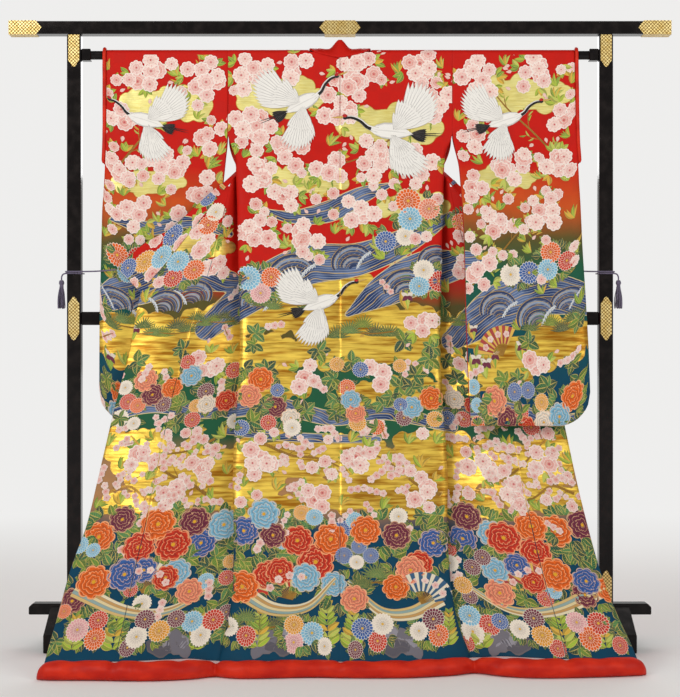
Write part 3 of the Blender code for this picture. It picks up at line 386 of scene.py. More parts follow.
def build_tassel(word, top, seed):
    """A bound head turned from a profile, and a skirt of silk strands: each strand is a thin
    tube whose foot lies at a seeded place in the skirt's round."""
    place = world_points(*top) - [0, 0, 0.0003]
    radius, height = spline(np.array(TASSEL_HEAD) / 1000, HEAD_RINGS).T
    angle = round_angles(HEAD_SIDES)
    flute = 1 + 0.05 * np.cos(14 * angle)[None] * (height > -0.013)[:, None]
    reach = radius[:, None] * flute
    heights = np.broadcast_to(height[:, None], reach.shape)
    rings = np.stack([reach * np.cos(angle), reach * np.sin(angle), heights], -1)
    parts = [place + rings.reshape(-1, 3)]
    faces = grid_faces(HEAD_RINGS, HEAD_SIDES, closed=True)[:, ::-1].tolist()
    first = HEAD_RINGS * HEAD_SIDES
    strand_faces = grid_faces(STRAND_POINTS, STRAND_SIDES, closed=True)[:, ::-1]
    rng = np.random.default_rng(seed)
    for k in range(STRANDS):
        turn, share = rng.uniform(0, 2 * math.pi), math.sqrt(rng.uniform(0.05, 1))
        drop = np.linspace(0, 1, STRAND_POINTS)
        reach = share * (0.0046 + (TASSEL_RADIUS - 0.0058) * np.sin(drop * 1.9) ** 1.2)
        sway = 0.0006 * np.sin(drop * rng.uniform(4, 8) + turn)
        length = TASSEL_LENGTH - 0.0185 - rng.uniform(0, 0.004)
        x, y = reach * math.cos(turn) + sway, reach * math.sin(turn) + sway
        strand = place + np.stack([x, y, -0.0180 - length * drop], 1)
        parts.append(tube_rings(strand, 0.00075, STRAND_SIDES).reshape(-1, 3))
        faces += (strand_faces + first + k * STRAND_POINTS * STRAND_SIDES).tolist()
    name = "tassel_" + word
    points = np.vstack(parts)
    return piece(name + "_silk", points, faces, TASSEL_SILK, slot="purple_cord", replaces=[name])


CORD_POINTS, CORD_SIDES = 220, 12
for (side, word), start_forward in zip(WORDS.items(), (0.0790, 0.0690)):
    route = cord_route(side, start_forward)
    path = spline(world_points(*route.T), CORD_POINTS)
    rings = tube_rings(path, CORD / 2, CORD_SIDES)
    cord_length = float(steps(path).sum())
    tassel = build_tassel(word, route[-1], seed=11 + side)
    name = "tie_cord_" + word
    tie = closed_rings(name + "_braid", rings, BRAID, slot="purple_cord", replaces=[name])
    run = np.repeat(np.linspace(0, cord_length, CORD_POINTS), CORD_SIDES)
    with_uv(tie, run, np.tile(np.arange(CORD_SIDES) / CORD_SIDES, CORD_POINTS))

# --------------------------------------------------------------------- the lacquered rack
# Wooden beams and posts in black lacquer, polished until they mirror the room. Their ends
# and joints carry sheet brass, engraved with a lattice inside a plain border.
DEEP_BLACK, DUSTY_BLACK = (0.006, 0.0045, 0.0045, 1), (0.016, 0.012, 0.011, 1)
lacquer = Finish("black_lacquer", Roughness=0.14, Specular_IOR_Level=0.16)
lacquer_place = lacquer.coordinates()
dust = lacquer.noise(lacquer_place, 38, 3)
ripple = lacquer.streaks(lacquer_place, (9, 9, 9), 1)
LACQUER = lacquer.paint(
    Base_Color=lacquer.mix(dust.step(0.35, 0.8), DEEP_BLACK, DUSTY_BLACK),
    Roughness=dust.step(0.3, 0.9) * 0.10 + 0.11,
    Normal=lacquer.bump(ripple, 0.0006, 0.35),
)

LATTICE = 0.0095  # pitch of the engraved lattice
brass = Finish("engraved_brass", Metallic=1.0)
brass_x, brass_y, brass_z = brass.split(brass.coordinates())
brass_across = brass_x + brass_y
rising = ((brass_across + brass_z) / LATTICE).fract() - 0.5
falling = ((brass_across - brass_z) / LATTICE).fract() - 0.5
line = rising.abs().step(0.05, 0.14) * falling.abs().step(0.05, 0.14)
pip = (rising * rising + falling * falling).step(0.16, 0.10)
cell_bar = (brass_z / (LATTICE / 4)).fract().step(0.3, 0.6) * 0.35
tarnish = brass.noise(brass.coordinates(), 60, 3)
relief = line * (1 - pip * 0.5) - cell_bar * 0.3
polished = brass.mix(tarnish.step(0.3, 0.75), srgb(250, 228, 160), srgb(228, 196, 118))
BRASS = brass.paint(
    Base_Color=brass.mix(relief.step(0.05, 0.8), srgb(138, 104, 48), polished),
    Roughness=(1 - relief) * 0.2 + tarnish * 0.12 + 0.26,
    Normal=brass.bump(relief, 0.0003),
)
WOODEN = ("top_beam", "post_", "middle_rail", "bottom_rail", "kimono_pole", "pole_", "foot")
for name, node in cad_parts.items():
    fitting = name.startswith(("beam_", "post_strap"))
    if fitting or name.startswith(WOODEN):
        node.data.materials.clear()
        node.data.materials.append(BRASS if fitting else LACQUER)

# ------------------------------------------------------------------- the cloth's own form
# Silk brocade backed with red silk hangs from the pole: back and fronts fall apart below
# the arms, where the fronts are drawn out, and all of it ends on the padded hem roll.
GAP = 0.0003  # between pieces that touch
WALL = 0.0022  # outer cloth and lining together
BODY_WIDTH = 0.306  # half of the back, which is one loom width a side
FRONT_WIDTH = 0.270  # front panel between its side seam and its inner seam
NECK_HALF = 0.085
SLEEVE_GAP = 0.0300  # hollow between a sleeve's two layers
CUFF_ROLL = 0.0100
CUFF_BOTTOM = 1.300
POLE_DEPTH = 0.020
RIDGE = POLE_DEPTH / 2 + 0.0004 + WALL / 2  # radius of the fold over the pole
HANG_TOP = 1.612  # where the fold ends and the cloth hangs
JOIN_Z = 1.400  # down to here the sleeve is sewn to the body
OPENING_Z = 1.260  # below the arm, where back and fronts part
HEM_Z = 0.048  # the panels' lowest row
PROFILE_REACH = 0.460  # how far forward the back would reach at the floor
PROFILE_POWER = 2.05  # of the height, in the curve of the back
FLARE_HEIGHT = 0.120  # height over which the cloth turns to the hem roll
HEM_SEAT = 0.0085  # from the roll's middle line back to the cloth
HEM_CLEAR = -0.0035  # the cloth is sewn into the roll
# the back's turned-in side: how far its edge goes in and back, and the width of the turn
CURL_IN, CURL_BACK, CURL_REACH, CURL_BULGE = 0.014, 0.032, 0.028, 0.020
LAYER_STEP = 0.019  # between the two layers of a folded front
FOLD_FADE = 0.03  # width under which the fold flattens out
FOLD_SPAN = 0.035  # least length of cloth on either side of the fold
OPENING_SAG = 0.022  # how far the front sinks back between the sleeve and the opening
SIDE_SEAM = 0.0014  # seam allowance between back and front
OKUMI_TOP = 1.256
COLLAR_END = 0.958
FLAT_SHARE = 0.85  # of the back's width that isn't in the turn


def read_table(columns, text, plain=""):
    """Rows of named values: metres, where the text has millimetres, and the plain columns
    as they are written."""
    Row = namedtuple("Row", columns)

    def value(name, word):
        if name not in plain.split():
            return float(word) / 1000
        return float(word) if "." in word else int(word)

    lines = [line.split() for line in text.strip().splitlines()]
    return [Row(*map(value, Row._fields, line)) for line in lines]


# Half widths of the back from the pole down to the hem.
BACK_OUTLINE = read_table("z left right", """
1612   306 306
1400   306 306
1340   292 292
1280   283 283
1040   274 274
 800   267 267
 690   270 270
 550   278 278
 450   279 280
 350 273.5 276
 220   272 282
 120   285 300
  48   304 330
""")

# Fronts below the arm: distance of the inner seam (to the okumi, the narrow front
# gore) and of the front edge from the centre, how far forward each lies, and how much
# further back the right front lies, tucked behind its sleeve.
FRONT_COLUMN_NAMES = "z seam_left seam_right seam_forward edge_left edge_right edge_forward tuck"
FRONT_LINES = read_table(FRONT_COLUMN_NAMES, """
1265 296.8 296.8  20 296.8 296.8  20  4
1220   306   306  34 331.6 331.6  40 18
1160   319   319  46 378.1 378.1  53 15
1100   333   333  56 424.6 424.6  64 13
1030   350   350  67 478.8 478.8  76 12
 958   372   372  80 534.5 534.5  88 10
 880   395   390  98   549   546 102  8
 800   417   411 117 563.5   558 114  6
 640   452   448 170   600   588 150  2
 465   482   472 236 634.5   619 206  0
 355   500   492 286   655   640 258  0
 234   524   516 345 690.5   667 325  0
 119   540   544 413 710.5   706 405  0
  48   551   558 475   724   738 470  0
""")

# Collar seam from the ridge of the shoulder down to the arm: the part behind the back.
NECKLINE = read_table("z x forward", """
1612    86 -11.5
1550   115   -20
1475   158   -24
1400   203   -26
1355   232   -27
1310   262   -24
1265 296.8    20
""")

# Free band of the collar at each height of its seam: how far from the seam it starts, its
# width, and the way that it stands out (out from the centre, forward, up).
COLLAR_BAND = read_table("z start width out forward up", """
 958 0.6 91.6  0.69 -0.02 0.72
1030 0.6   83  0.75 -0.04 0.66
1100 0.7   52  0.78 -0.06 0.62
1160 1.2   37  0.77  -0.1 0.62
1220   2   26  0.74 -0.18 0.62
1265 3.2   16   0.6  -0.6 0.55
1310 3.6   26  0.25    -1  0.1
1355 3.6   36  0.05    -1    0
1400 3.6   42 -0.05    -1    0
1475 3.6   46 -0.15    -1    0
1550 3.6   50 -0.25    -1 0.05
1612 3.6   52  -0.3    -1  0.1
""", "out forward up")

# Sleeves: inner and outer edge, and how far forward the outer (front-most) layer lies.
SLEEVES = {}
SLEEVES[LEFT] = read_table("z inner outer inner_forward outer_forward", """
1612 306 637 11.5 11.5
1400 306 636 18.8   22
1310 314 638   14   31
1250 321 641    8   38
1180 328 645   15   45
1100 335 646   26   53
1000 341 647   40   63
 890 346 648   58   74
 750 349 647   78   88
 612 350 645   93  100
""")
SLEEVES[RIGHT] = read_table("z inner outer inner_forward outer_forward", """
1612 306 639.5 11.5 11.5
1400 306   641 18.8   30
1300 324   645   43   48
1200 330   649   70   69
1080 334   651  100   96
 930 335   655  136  137
 800 337   657  171  174
 680 339   656  208  213
 608 341   654  234  234
""")
SLEEVE_CORNER = 0.086  # radius of the rounded outer bottom corner
SLEEVE_PINCH = 0.0027  # between the two layers where they are sewn together
# share of the width, and height, over which the layers come together
SLEEVE_RIM, SLEEVE_FOOT = 0.20, 0.055

# Padded hem roll on the floor, from the left tip to the right one.
HEM_ROLL = read_table("x forward height depth", """
 -739 527   12 12
 -733 529   30 30
 -715 531   43 48
 -680 532 47.5 54
 -602 533 47.5 54
 -475 541   48 56
 -378 521   47 54
 -310 486   39 44
 -238 510   44 52
  -72 493 42.5 52
   16 500   41 52
  156 500 42.5 52
  266 470   43 52
  337 438   39 44
  412 482   46 54
  498 503 47.5 55
  644 487 46.5 54
  720 471   45 52
  743 465   37 42
  754 462   24 26
757.5 461   12 12
""")


def smooth(table, column, at):
    """Reads a column of a table at any z (or x) with a cubic through its rows."""
    rows = sorted(table, key=lambda row: row[0])
    key = np.array([row[0] for row in rows])
    value = np.array([getattr(row, column) for row in rows])
    slope = np.diff(value) / np.diff(key)
    tangent = np.zeros(len(key))
    same_way = slope[1:] * slope[:-1] > 0
    mean = 2 * slope[1:] * slope[:-1] / np.where(same_way, slope[1:] + slope[:-1], 1)
    tangent[1:-1] = np.where(same_way, mean, 0)
    tangent[0], tangent[-1] = slope[0], slope[-1]
    at = np.clip(np.asarray(at, float), key[0], key[-1])
    i = np.clip(np.searchsorted(key, at, side="right") - 1, 0, len(key) - 2)
    step = key[i + 1] - key[i]
    t = (at - key[i]) / step
    ease_out = (1 + 2 * t) * (1 - t) ** 2
    ease_in = t**2 * (3 - 2 * t)
    return (
        ease_out * value[i]
        + ease_in * value[i + 1]
        + t * (1 - t) ** 2 * step * tangent[i]
        + t**2 * (t - 1) * step * tangent[i + 1]
    )


def ease(low, high, at):
    """0 below low, 1 above high, and a smooth step between; low may be the larger."""
    t = np.clip((np.asarray(at, float) - low) / (high - low), 0, 1)
    return t * t * (3 - 2 * t)


BEZIER_POINTS = 40


def bezier(points):
    """Points of a cubic Bezier curve in the plane."""
    a, b, c, d = (np.array(point, float) for point in points)
    t = np.linspace(0, 1, BEZIER_POINTS)[:, None]
    return (1 - t) ** 3 * a + 3 * t * (1 - t) ** 2 * b + 3 * t**2 * (1 - t) * c + t**3 * d


def profile(z):
    """How far forward the back hangs at a height: upright at the pole, leaning below."""
    drop = np.clip((HANG_TOP - np.asarray(z, float)) / 1.6, 0, None)
    return RIDGE + PROFILE_REACH * drop**PROFILE_POWER


def hem_pull(z):
    """Share of the hem's plan shape that reaches up to a height."""
    return np.exp(-(np.clip((np.asarray(z, float) - HEM_Z) / FLARE_HEIGHT, 0, None) ** 1.3))


def seat_forward(x):
    """Where the cloth meets the hem roll."""
    return smooth(HEM_ROLL, "forward", x) - HEM_SEAT


def with_hem(x, forward, forward_at_hem, z):
    """Turns a depth into the plan of the hem roll, near the floor."""
    return forward + (seat_forward(x) - forward_at_hem) * hem_pull(z)


def curl(z):
    """How far the side of the back is turned in: none where the sleeve is sewn on."""
    return (1 - ease(OPENING_Z, JOIN_Z, z)) * (1 - 0.75 * hem_pull(z))


def back_plan(side, z, stations):
    """Plan of half the back at one height, as (x, forward); stations run 0 to 1."""
    half = smooth(BACK_OUTLINE, WORDS[side], z)
    turn = curl(z)
    flat = half - CURL_REACH
    s = np.clip(stations / FLAT_SHARE, 0, 1)
    t = np.clip((stations - FLAT_SHARE) / (1 - FLAT_SHARE), 0, 1)
    bulge = half - CURL_REACH / 2 + (CURL_REACH / 2 + CURL_BULGE) * turn
    x = np.where(
        stations <= FLAT_SHARE,
        flat * s,
        (1 - t) ** 2 * flat + 2 * t * (1 - t) * bulge + t**2 * (half - CURL_IN * turn),
    )
    forward = profile(z) - t**2 * CURL_BACK * turn
    return x, with_hem(side * x, forward, profile(HEM_Z), z)


def side_seam(side, z):
    """Plan point where the back's side ends."""
    x, forward = back_plan(side, z, np.array([1.0]))
    return x[0], forward[0]


def side_tangent(z):
    """Way in which the back's cloth runs, in plan, where it ends at the side seam."""
    turn = curl(z)
    out = CURL_REACH / 2 - (CURL_REACH / 2 + CURL_BULGE + CURL_IN) * turn
    return unit(np.array([out, -CURL_BACK * turn]))


def front_line(side, z, which):
    """A seam or edge of the front below the arm, as (x, forward)."""
    x = smooth(FRONT_LINES, which + "_" + WORDS[side], z)
    forward = smooth(FRONT_LINES, which + "_forward", z)
    if side == RIGHT:
        forward = forward - smooth(FRONT_LINES, "tuck", z)
    at_hem = getattr(FRONT_LINES[-1], which + "_forward")
    return x, with_hem(side * x, forward, at_hem, z)


def inner_line(side, z, which):
    """The same seam or edge, and above the arm the neckline that takes its place."""
    if z > FRONT_LINES[0].z:
        return smooth(NECKLINE, "x", z), smooth(NECKLINE, "forward", z)
    return front_line(side, z, which)


def front_plan(side, z, stations):
    """Plan of a front panel at one height: from its side, in behind the back to a fold,
    and out again to its seam. The fold takes up the width that the seam doesn't use."""
    side_x, side_forward = side_seam(side, z)
    free = ease(OPENING_Z, JOIN_Z, z)
    side_x = (1 - free) * side_x + free * (BODY_WIDTH - GAP / 2)
    side_forward = (1 - free) * side_forward - free * RIDGE - OPENING_SAG * free * (1 - free)
    seam_x, seam_forward = inner_line(side, z, "seam")
    grown = ease(HANG_TOP, 1.40, z)
    width = (1 - grown) * (BODY_WIDTH - NECK_HALF) + grown * FRONT_WIDTH
    spread = ease(0.32, 0.16, z)  # near the hem the cloth lies open, with no fold
    width = (1 - spread) * width + spread * (seam_x - side_x)
    fold_x = min((side_x + seam_x - width) / 2, side_x, seam_x)
    reach = min(side_x - fold_x, seam_x - fold_x)
    step = LAYER_STEP * min(1.0, reach / FOLD_FADE)
    fold = np.array([fold_x, side_forward - step / 2])
    behind_x = min(side_x, seam_x)
    behind = np.array([behind_x, side_forward - step if seam_x > side_x else seam_forward])
    start, end = np.array([side_x, side_forward]), np.array([seam_x, seam_forward])
    turn = np.array([0, 0.55 * step])
    onwards = side_tangent(z) * (1 - free) + np.array([-1, 0]) * free
    folded = min(1.0, (side_x - fold_x) / FOLD_FADE)
    lead = onwards * 0.012 * folded
    lead_out = onwards * 0.030 * (1 - folded)
    inwards = np.array([(side_x - fold_x) / 3, 0])
    outwards = np.array([(behind_x - fold_x) / 3, 0])
    last = (seam_x - behind_x) / 3
    path = np.vstack([
        bezier([start, start + lead, fold + turn * 0.9 + inwards * 0.05, fold]),
        bezier([fold, fold - turn * 0.9 + outwards * 0.05, behind - outwards, behind])[1:],
        bezier([behind, behind + [last * folded, 0] + lead_out, end - [last, 0], end])[1:],
    ])
    lengths = steps(path)
    total = lengths.sum()
    at_fold = min(max(lengths[: BEZIER_POINTS - 1].sum(), FOLD_SPAN), total - FOLD_SPAN)
    first, near, after = stations
    before, beyond = first * (at_fold + near[0]), at_fold + near[-1]
    after = beyond + after * (total - beyond)
    places = np.concatenate([before, at_fold + near[1:-1], after])
    places[:2] = SIDE_SEAM, SIDE_SEAM + 0.005
    return along(path, places)


def sleeve_point(table, a, z, bottom, layer):
    """One point of a sleeve: a runs from the inner to the outer edge, and layer is 1 on
    the viewer's side and -1 on the far side."""
    inner, outer = smooth(table, "inner", z), smooth(table, "outer", z)
    forward = (1 - a) * smooth(table, "inner_forward", z) + a * smooth(table, "outer_forward", z)
    hollow = 2 * RIDGE + (SLEEVE_GAP - 2 * RIDGE) * ease(HANG_TOP, 1.45, z)
    middle = forward - hollow / 2
    rim = np.clip((a - (1 - SLEEVE_RIM)) / SLEEVE_RIM, 0, 1)
    closed = ease(CUFF_BOTTOM + 0.005, CUFF_BOTTOM - 0.05, z)
    hem = np.clip(1 - (z - bottom) / SLEEVE_FOOT, 0, 1)
    open_share = (1 - closed * (1 - np.sqrt(1 - rim**2))) * np.sqrt(1 - hem**2)
    half = SLEEVE_PINCH / 2 + (hollow - SLEEVE_PINCH) / 2 * open_share
    return world_points((1 - a) * inner + a * outer, middle + layer * half, z)


# The panels as fine grids: rows run down the cloth at equal distances, columns across it.
STEP = 0.0066  # pitch of the rows
RIDGE_ROWS = 6
BACK_COLUMNS, FRONT_COLUMNS, OKUMI_COLUMNS, SLEEVE_COLUMNS = 44, 58, 26, 52
fine_z = np.linspace(HANG_TOP, HEM_Z, 3000)
fine_steps = np.hypot(np.diff(fine_z), np.diff(profile(fine_z)))
fine_drop = np.concatenate([[0], np.cumsum(fine_steps)])
DROPS = np.linspace(0, fine_drop[-1], int(fine_drop[-1] / STEP) + 1)
BODY_Z = np.interp(DROPS, fine_drop, fine_z)


def hung(side, x, forward, z):
    """A row of a panel; near the hem it follows the top of the padded roll."""
    top = smooth(HEM_ROLL, "height", side * x) + HEM_CLEAR
    return world_points(side * x, forward, z + (top - HEM_Z) * ease(HEM_Z + 0.05, HEM_Z, z))


def over_pole(x, way):
    """Rows over the pole down to its middle: way 1 on the viewer's side, -1 on the other."""
    angle = np.linspace(0, math.pi / 2, RIDGE_ROWS + 1)[:-1, None]
    forward = way * np.maximum(RIDGE * np.sin(angle), GAP)
    return world_points(x[None], forward, HANG_TOP + RIDGE * np.cos(angle))


def panel_grid(side, heights, plan_at, over=0):
    """A panel from its plan at each height, with rows over the pole unless over is 0."""
    rows = np.array([hung(side, *plan_at(z), z) for z in heights])
    return np.vstack([over_pole(rows[0, :, 0], over), rows]) if over else rows


def back_grid(side):
    """Half of the back from the pole down to the hem, centre seam first."""
    turned = np.linspace(FLAT_SHARE, 1, 9)[1:]
    stations = np.concatenate([np.linspace(0, FLAT_SHARE, 40), turned])

    def plan_at(z):
        x, forward = back_plan(side, z, stations)
        limit = BODY_WIDTH - GAP / 2 if z > OPENING_Z - 0.001 else 1
        return even(np.stack([np.clip(np.abs(x), 0, limit), forward], 1), BACK_COLUMNS).T

    return panel_grid(side, BODY_Z, plan_at, over=1)


def front_grid(side):
    """A front panel from its side seam, round its fold, to the seam of its gore."""
    stations = (np.linspace(0, 1, 9), np.linspace(-0.015, 0.015, 9), np.linspace(0, 1, 24))

    def plan_at(z):
        return even(front_plan(side, z, stations), FRONT_COLUMNS).T

    return panel_grid(side, BODY_Z, plan_at, over=-1)


def okumi_grid(side):
    """The narrow gore between the front panel and the front edge."""
    t = np.linspace(0, 1, OKUMI_COLUMNS)

    def plan_at(z):
        seam_x, seam_forward = front_line(side, z, "seam")
        edge_x, edge_forward = front_line(side, z, "edge")
        bow = 0.006 * np.sin(math.pi * t) * ease(OKUMI_TOP, 1.0, z)
        x = (1 - t) * seam_x + t * (edge_x - GAP / 2)
        forward = (1 - t) * seam_forward + t * edge_forward + bow
        blend = with_hem(side * x, 0, 0, z)
        return x, forward + blend - (1 - t) * blend[0] - t * blend[-1]

    return panel_grid(side, BODY_Z[BODY_Z <= OKUMI_TOP], plan_at)


def sleeve_grid(side, table):
    """A sleeve as one strip over the pole: its near layer from the foot up, then the far
    layer down again, sewn round the outer lower corner."""
    a = np.linspace(0, 1, SLEEVE_COLUMNS)
    low = table[-1]
    from_edge = np.clip(SLEEVE_CORNER - (1 - a) * (low.outer - low.inner), 0, None)
    bottom = low.z + SLEEVE_CORNER - np.sqrt(SLEEVE_CORNER**2 - from_edge**2)
    share = np.linspace(0, 1, int((HANG_TOP - low.z) / STEP))[:, None]
    share = share * (1 - 0.04 * np.sin(math.pi * share))
    z = HANG_TOP - share * (HANG_TOP - bottom)
    near, far = (
        np.stack([sleeve_point(table, *column, layer) for column in zip(a, z.T, bottom)], 1)
        for layer in (1, -1)
    )
    angle = np.linspace(math.pi / 2, -math.pi / 2, 2 * RIDGE_ROWS + 1)[1:-1, None]
    over = world_points(near[:1, :, 0], RIDGE * np.sin(angle), HANG_TOP + RIDGE * np.cos(angle))
    grid = np.vstack([near[::-1], over, far])
    grid[..., 0] = np.maximum(grid[..., 0], BODY_WIDTH + GAP / 2) * side
    return grid


# ------------------------------------------------------------------- the brocade's ground
# The outer silk is woven and dyed in zones from scarlet down to teal. Clouds of gold leaf
# thread and bands of running water are woven into it; their edges lie wherever a cloud's
# or a stream's distance field, kept at each point of the cloth, passes through zero.
CLOUDS = read_table("x z long high lobes", """
-165 1495 105 45 11
 135 1415 125 50 12
-100 1265 110 36 10
 200 1195  85 36  9
  20  965 120 36 11
-200  905 130 50 12
 185  870 120 46 12
  10  800 140 44 13
-190  715 110 40 11
 160  690 150 36 13
-110  520 170 52 14
 180  480 130 60 12
  10  430 110 40 11
-210  400  90 36 10
-480 1470 110 44 11
 500 1500 110 46 11
-520 1260  90 32 10
 440 1270  80 30  9
-560  850 120 50 12
-430  780 110 40 11
 500  800 120 46 12
 380  735 110 40 11
-430  500 150 56 13
 440  500 150 56 13
-540  400  70 36  9
 330  400  80 36  9
-380 1080  80 28  9
 -20  890 150 50 14
-215  800  90 40 11
 240  780  80 36 10
 240  560  90 34 10
-240  460  80 40 10
 -10  555 120 26 12
 200  400 110 26 11
-350  870  80 44 10
 360  860  80 40 10
-560  560  90 36 10
 580  545  80 38 10
-330  420  90 34 10
 540  420 100 32 11
-470  800 150 46 13
 600  850  90 40 10
""", "lobes")


def cloud_distance(x, z):
    """How far inside a cloud a place lies, in metres: the greatest of (radius - distance)
    over the round lobes that ring each cloud's ellipse, and the ellipse itself."""
    inside = np.full(np.shape(x), -1.0)
    for seed, cloud in enumerate(CLOUDS, 1):
        rng = np.random.default_rng(seed)
        turn = round_angles(cloud.lobes) + rng.uniform(-0.2, 0.2, cloud.lobes)
        radius = cloud.high * rng.uniform(0.42, 0.62, cloud.lobes)
        uneven = 0.12 * cloud.high * rng.uniform(-1, 1, cloud.lobes)
        lobe_x = cloud.x + cloud.long * np.cos(turn)
        lobe_z = cloud.z + cloud.high * 0.75 * np.sin(turn) + uneven
        for cx, cz, r in zip(lobe_x, lobe_z, radius):
            inside = np.maximum(inside, r - np.hypot(x - cx, z - cz))
        across = (x - cloud.x) / (cloud.long + 0.006)
        up = (z - cloud.z) / (cloud.high * 0.8 + 0.006)
        inside = np.maximum(inside, (1 - np.hypot(across, up)) * cloud.high)
    return inside


# Running water: each stream's middle line through given places, as sideways distance,
# height and half width in millimetres.
STREAMS = """
-360 860 30  -240 955 50  -100 1030 55  50 1050 45  180 1100 35  300 1170 12
20 900 8  120 965 45  240 1020 55  360 1040 30
-300 640 16  -160 655 22  -20 625 20  120 640 20  300 600 14
-300 590 10  -100 575 13  100 570 10
-660 930 30  -540 985 60  -420 1015 55  -300 990 30
-620 1160 6  -520 1135 20  -420 1150 18  -300 1120 10
300 830 28  420 915 62  540 955 60  680 935 40
-640 620 14  -500 660 22  -360 640 18  -260 655 12
280 640 14  420 650 22  560 620 18  680 640 12
140 1255 6  60 1225 24  -30 1180 30  -130 1165 18  -220 1185 6
"""
STREAM_POINTS = 90
STREAM_REACH = 0.30  # a place further above or below a stream is never in it
RIPPLE_SHIFT = 3.1  # so that no two streams ripple alike


def stream_distance(x, z):
    """How far inside the water a place lies, with the distance along and across the
    stream's middle line: the nearest of the line's points gives all three."""
    inside, run, offset = np.full(np.shape(x), -1.0), np.zeros(np.shape(x)), np.zeros(np.shape(x))
    for number, banks in enumerate(STREAMS.strip().splitlines()):
        banks = np.reshape(banks.split(), (-1, 3)).astype(float) / 1000
        line = spline(banks, STREAM_POINTS)
        way = unit(np.gradient(line[:, :2], axis=0))
        length = np.linspace(0, 1, STREAM_POINTS) * steps(line[:, :2]).sum()
        close = (np.abs(z - np.mean(line[:, 1])) < STREAM_REACH).nonzero()
        px, pz = x[close], z[close]
        away_x, away_z = px[:, None] - line[None, :, 0], pz[:, None] - line[None, :, 1]
        near = np.argmin(np.hypot(away_x, away_z), axis=1)
        pick = (np.arange(len(near)), near)
        depth = line[near, 2] - np.hypot(away_x[pick], away_z[pick])
        better = depth > inside[close]
        across = way[near, 0] * away_z[pick] - way[near, 1] * away_x[pick]
        shift = way[near, 0] * away_x[pick] + way[near, 1] * away_z[pick]
        spot = tuple(axis[better] for axis in close)
        inside[spot] = depth[better]
        run[spot] = (length[near] + shift + number * RIPPLE_SHIFT)[better]
        offset[spot] = across[better]
    return inside, run, offset


def attribute(made, name, values):
    """Keeps one number for each point of a mesh."""
    made.data.attributes.new(name, "FLOAT", "POINT").data.foreach_set("value", np.ravel(values))


def woven(made, points, gold_below=2.0):
    """Keeps on a mesh how its points lie to the woven clouds and water."""
    x, z = points[..., 0], points[..., 2]
    attribute(made, "gold", np.where(z < gold_below, cloud_distance(x, z), -1))
    for name, values in zip(("water", "run", "offset"), stream_distance(x, z)):
        attribute(made, name, values)


def brocade(name, zones):
    """Silk ground dyed in zones by height, with woven gold clouds and water over it."""
    silk = Finish(name, Specular_IOR_Level=0.16)
    place = silk.coordinates()
    _, _, height = silk.split(place)
    warp, weft, _ = silk.split(silk.coordinates("UV"))

    def kept(which):
        return silk.node("Attribute", {"attribute_name": which}, (), "Fac")

    cloudy = silk.noise(place, 9, 3)
    stops = [(z / 1.7, colour) for z, colour in zones]
    ground = silk.node("ValToRGB", {"stops": stops}, [(height + (cloudy - 0.5) * 0.05) / 1.7])
    # a self-coloured figure in the silk: small lozenges seen only in their sheen; that sheen is
    # painted in as a slightly darker colour, besides their own roughness and relief
    figure = ((warp / 0.011).sin() * (weft / 0.011).sin()).step(-0.1, 0.25)
    ground = silk.mix(figure * 0.10, ground, silk.mix(0.5, ground, (0, 0, 0, 1)))

    gold_depth = kept("gold") + (silk.noise(place, 160, 2) - 0.5) * 0.0016
    gold = gold_depth.step(-0.0003, 0.0004)
    rim = gold_depth.step(0.0012, 0.0022)
    # the gold's colour follows its crinkles: lighter on their ridges and darker in their creases,
    # which is painted highlight and painted shade; the pale gold is streaked with painted sheen
    shimmer = silk.streaks(place, (26, 26, 420), 2)
    patches = silk.streaks(place, (5, 5, 17), 3)
    crinkle = silk.streaks(place, (11, 11, 120), 3)
    crumple = silk.streaks(place, (16, 16, 46), 3)
    painted_glint_and_shade = crinkle * 0.8 + shimmer * 0.2 + patches * 0.5
    cloth_of_gold = silk.mix(painted_glint_and_shade.step(0.54, 0.90), srgb(168, 108, 20), srgb(255, 218, 92))
    painted_sheen_share = (shimmer + patches * 0.5).step(0.4, 1.0)
    pale_gold = silk.mix(painted_sheen_share, srgb(226, 204, 104), srgb(250, 240, 158))
    inner_gold = silk.mix(height.step(1.0, 1.2), cloth_of_gold, pale_gold)
    woven_gold = silk.mix(rim, srgb(214, 170, 84), inner_gold)

    depth = kept("water")
    water = depth.step(-0.0003, 0.0004)
    bank = depth.step(0.0016, 0.0026)
    run, offset = kept("run"), kept("offset")
    swell = (run * 26 + silk.noise(place, 14, 1) * 5).sin() * 0.0045 + (run * 71).sin() * 0.0012
    ripples = ((offset + swell) / 0.0062).fract()
    tone = silk.streaks(place, (14, 14, 22), 2)
    blue = silk.mix(tone.step(0.35, 0.7), srgb(40, 60, 102), srgb(98, 118, 156))
    blue = silk.mix((ripples - 0.5).abs().step(0.10, 0.02) * 0.8, blue, srgb(190, 198, 212))
    gilt_line = (((offset + swell * 1.4) / 0.019).fract() - 0.5).abs().step(0.07, 0.02)
    blue = silk.mix(gilt_line, blue, srgb(198, 166, 96))
    blue = silk.mix(1 - bank, blue, srgb(226, 204, 148))

    colour = silk.mix(gold, ground, woven_gold)
    colour = silk.mix(water, colour, blue)
    shows_gold = gold * (1 - water)
    weave = (warp / 0.00035).sin() * 0.5 + (weft / 0.00035).sin() * 0.5
    crushed = shows_gold * (crinkle * 5.0 + crumple * 5.0 + patches * 8.0)
    raised = weave * 0.12 + figure * 0.25 + crushed + water * ripples.step(0, 1) * 0.8
    return silk.paint(
        Base_Color=colour,
        Metallic=shows_gold * 0.60,
        Roughness=0.62 - shows_gold * 0.24 - figure * 0.06,
        Normal=silk.bump(raised, 0.00035, 0.8),
    )


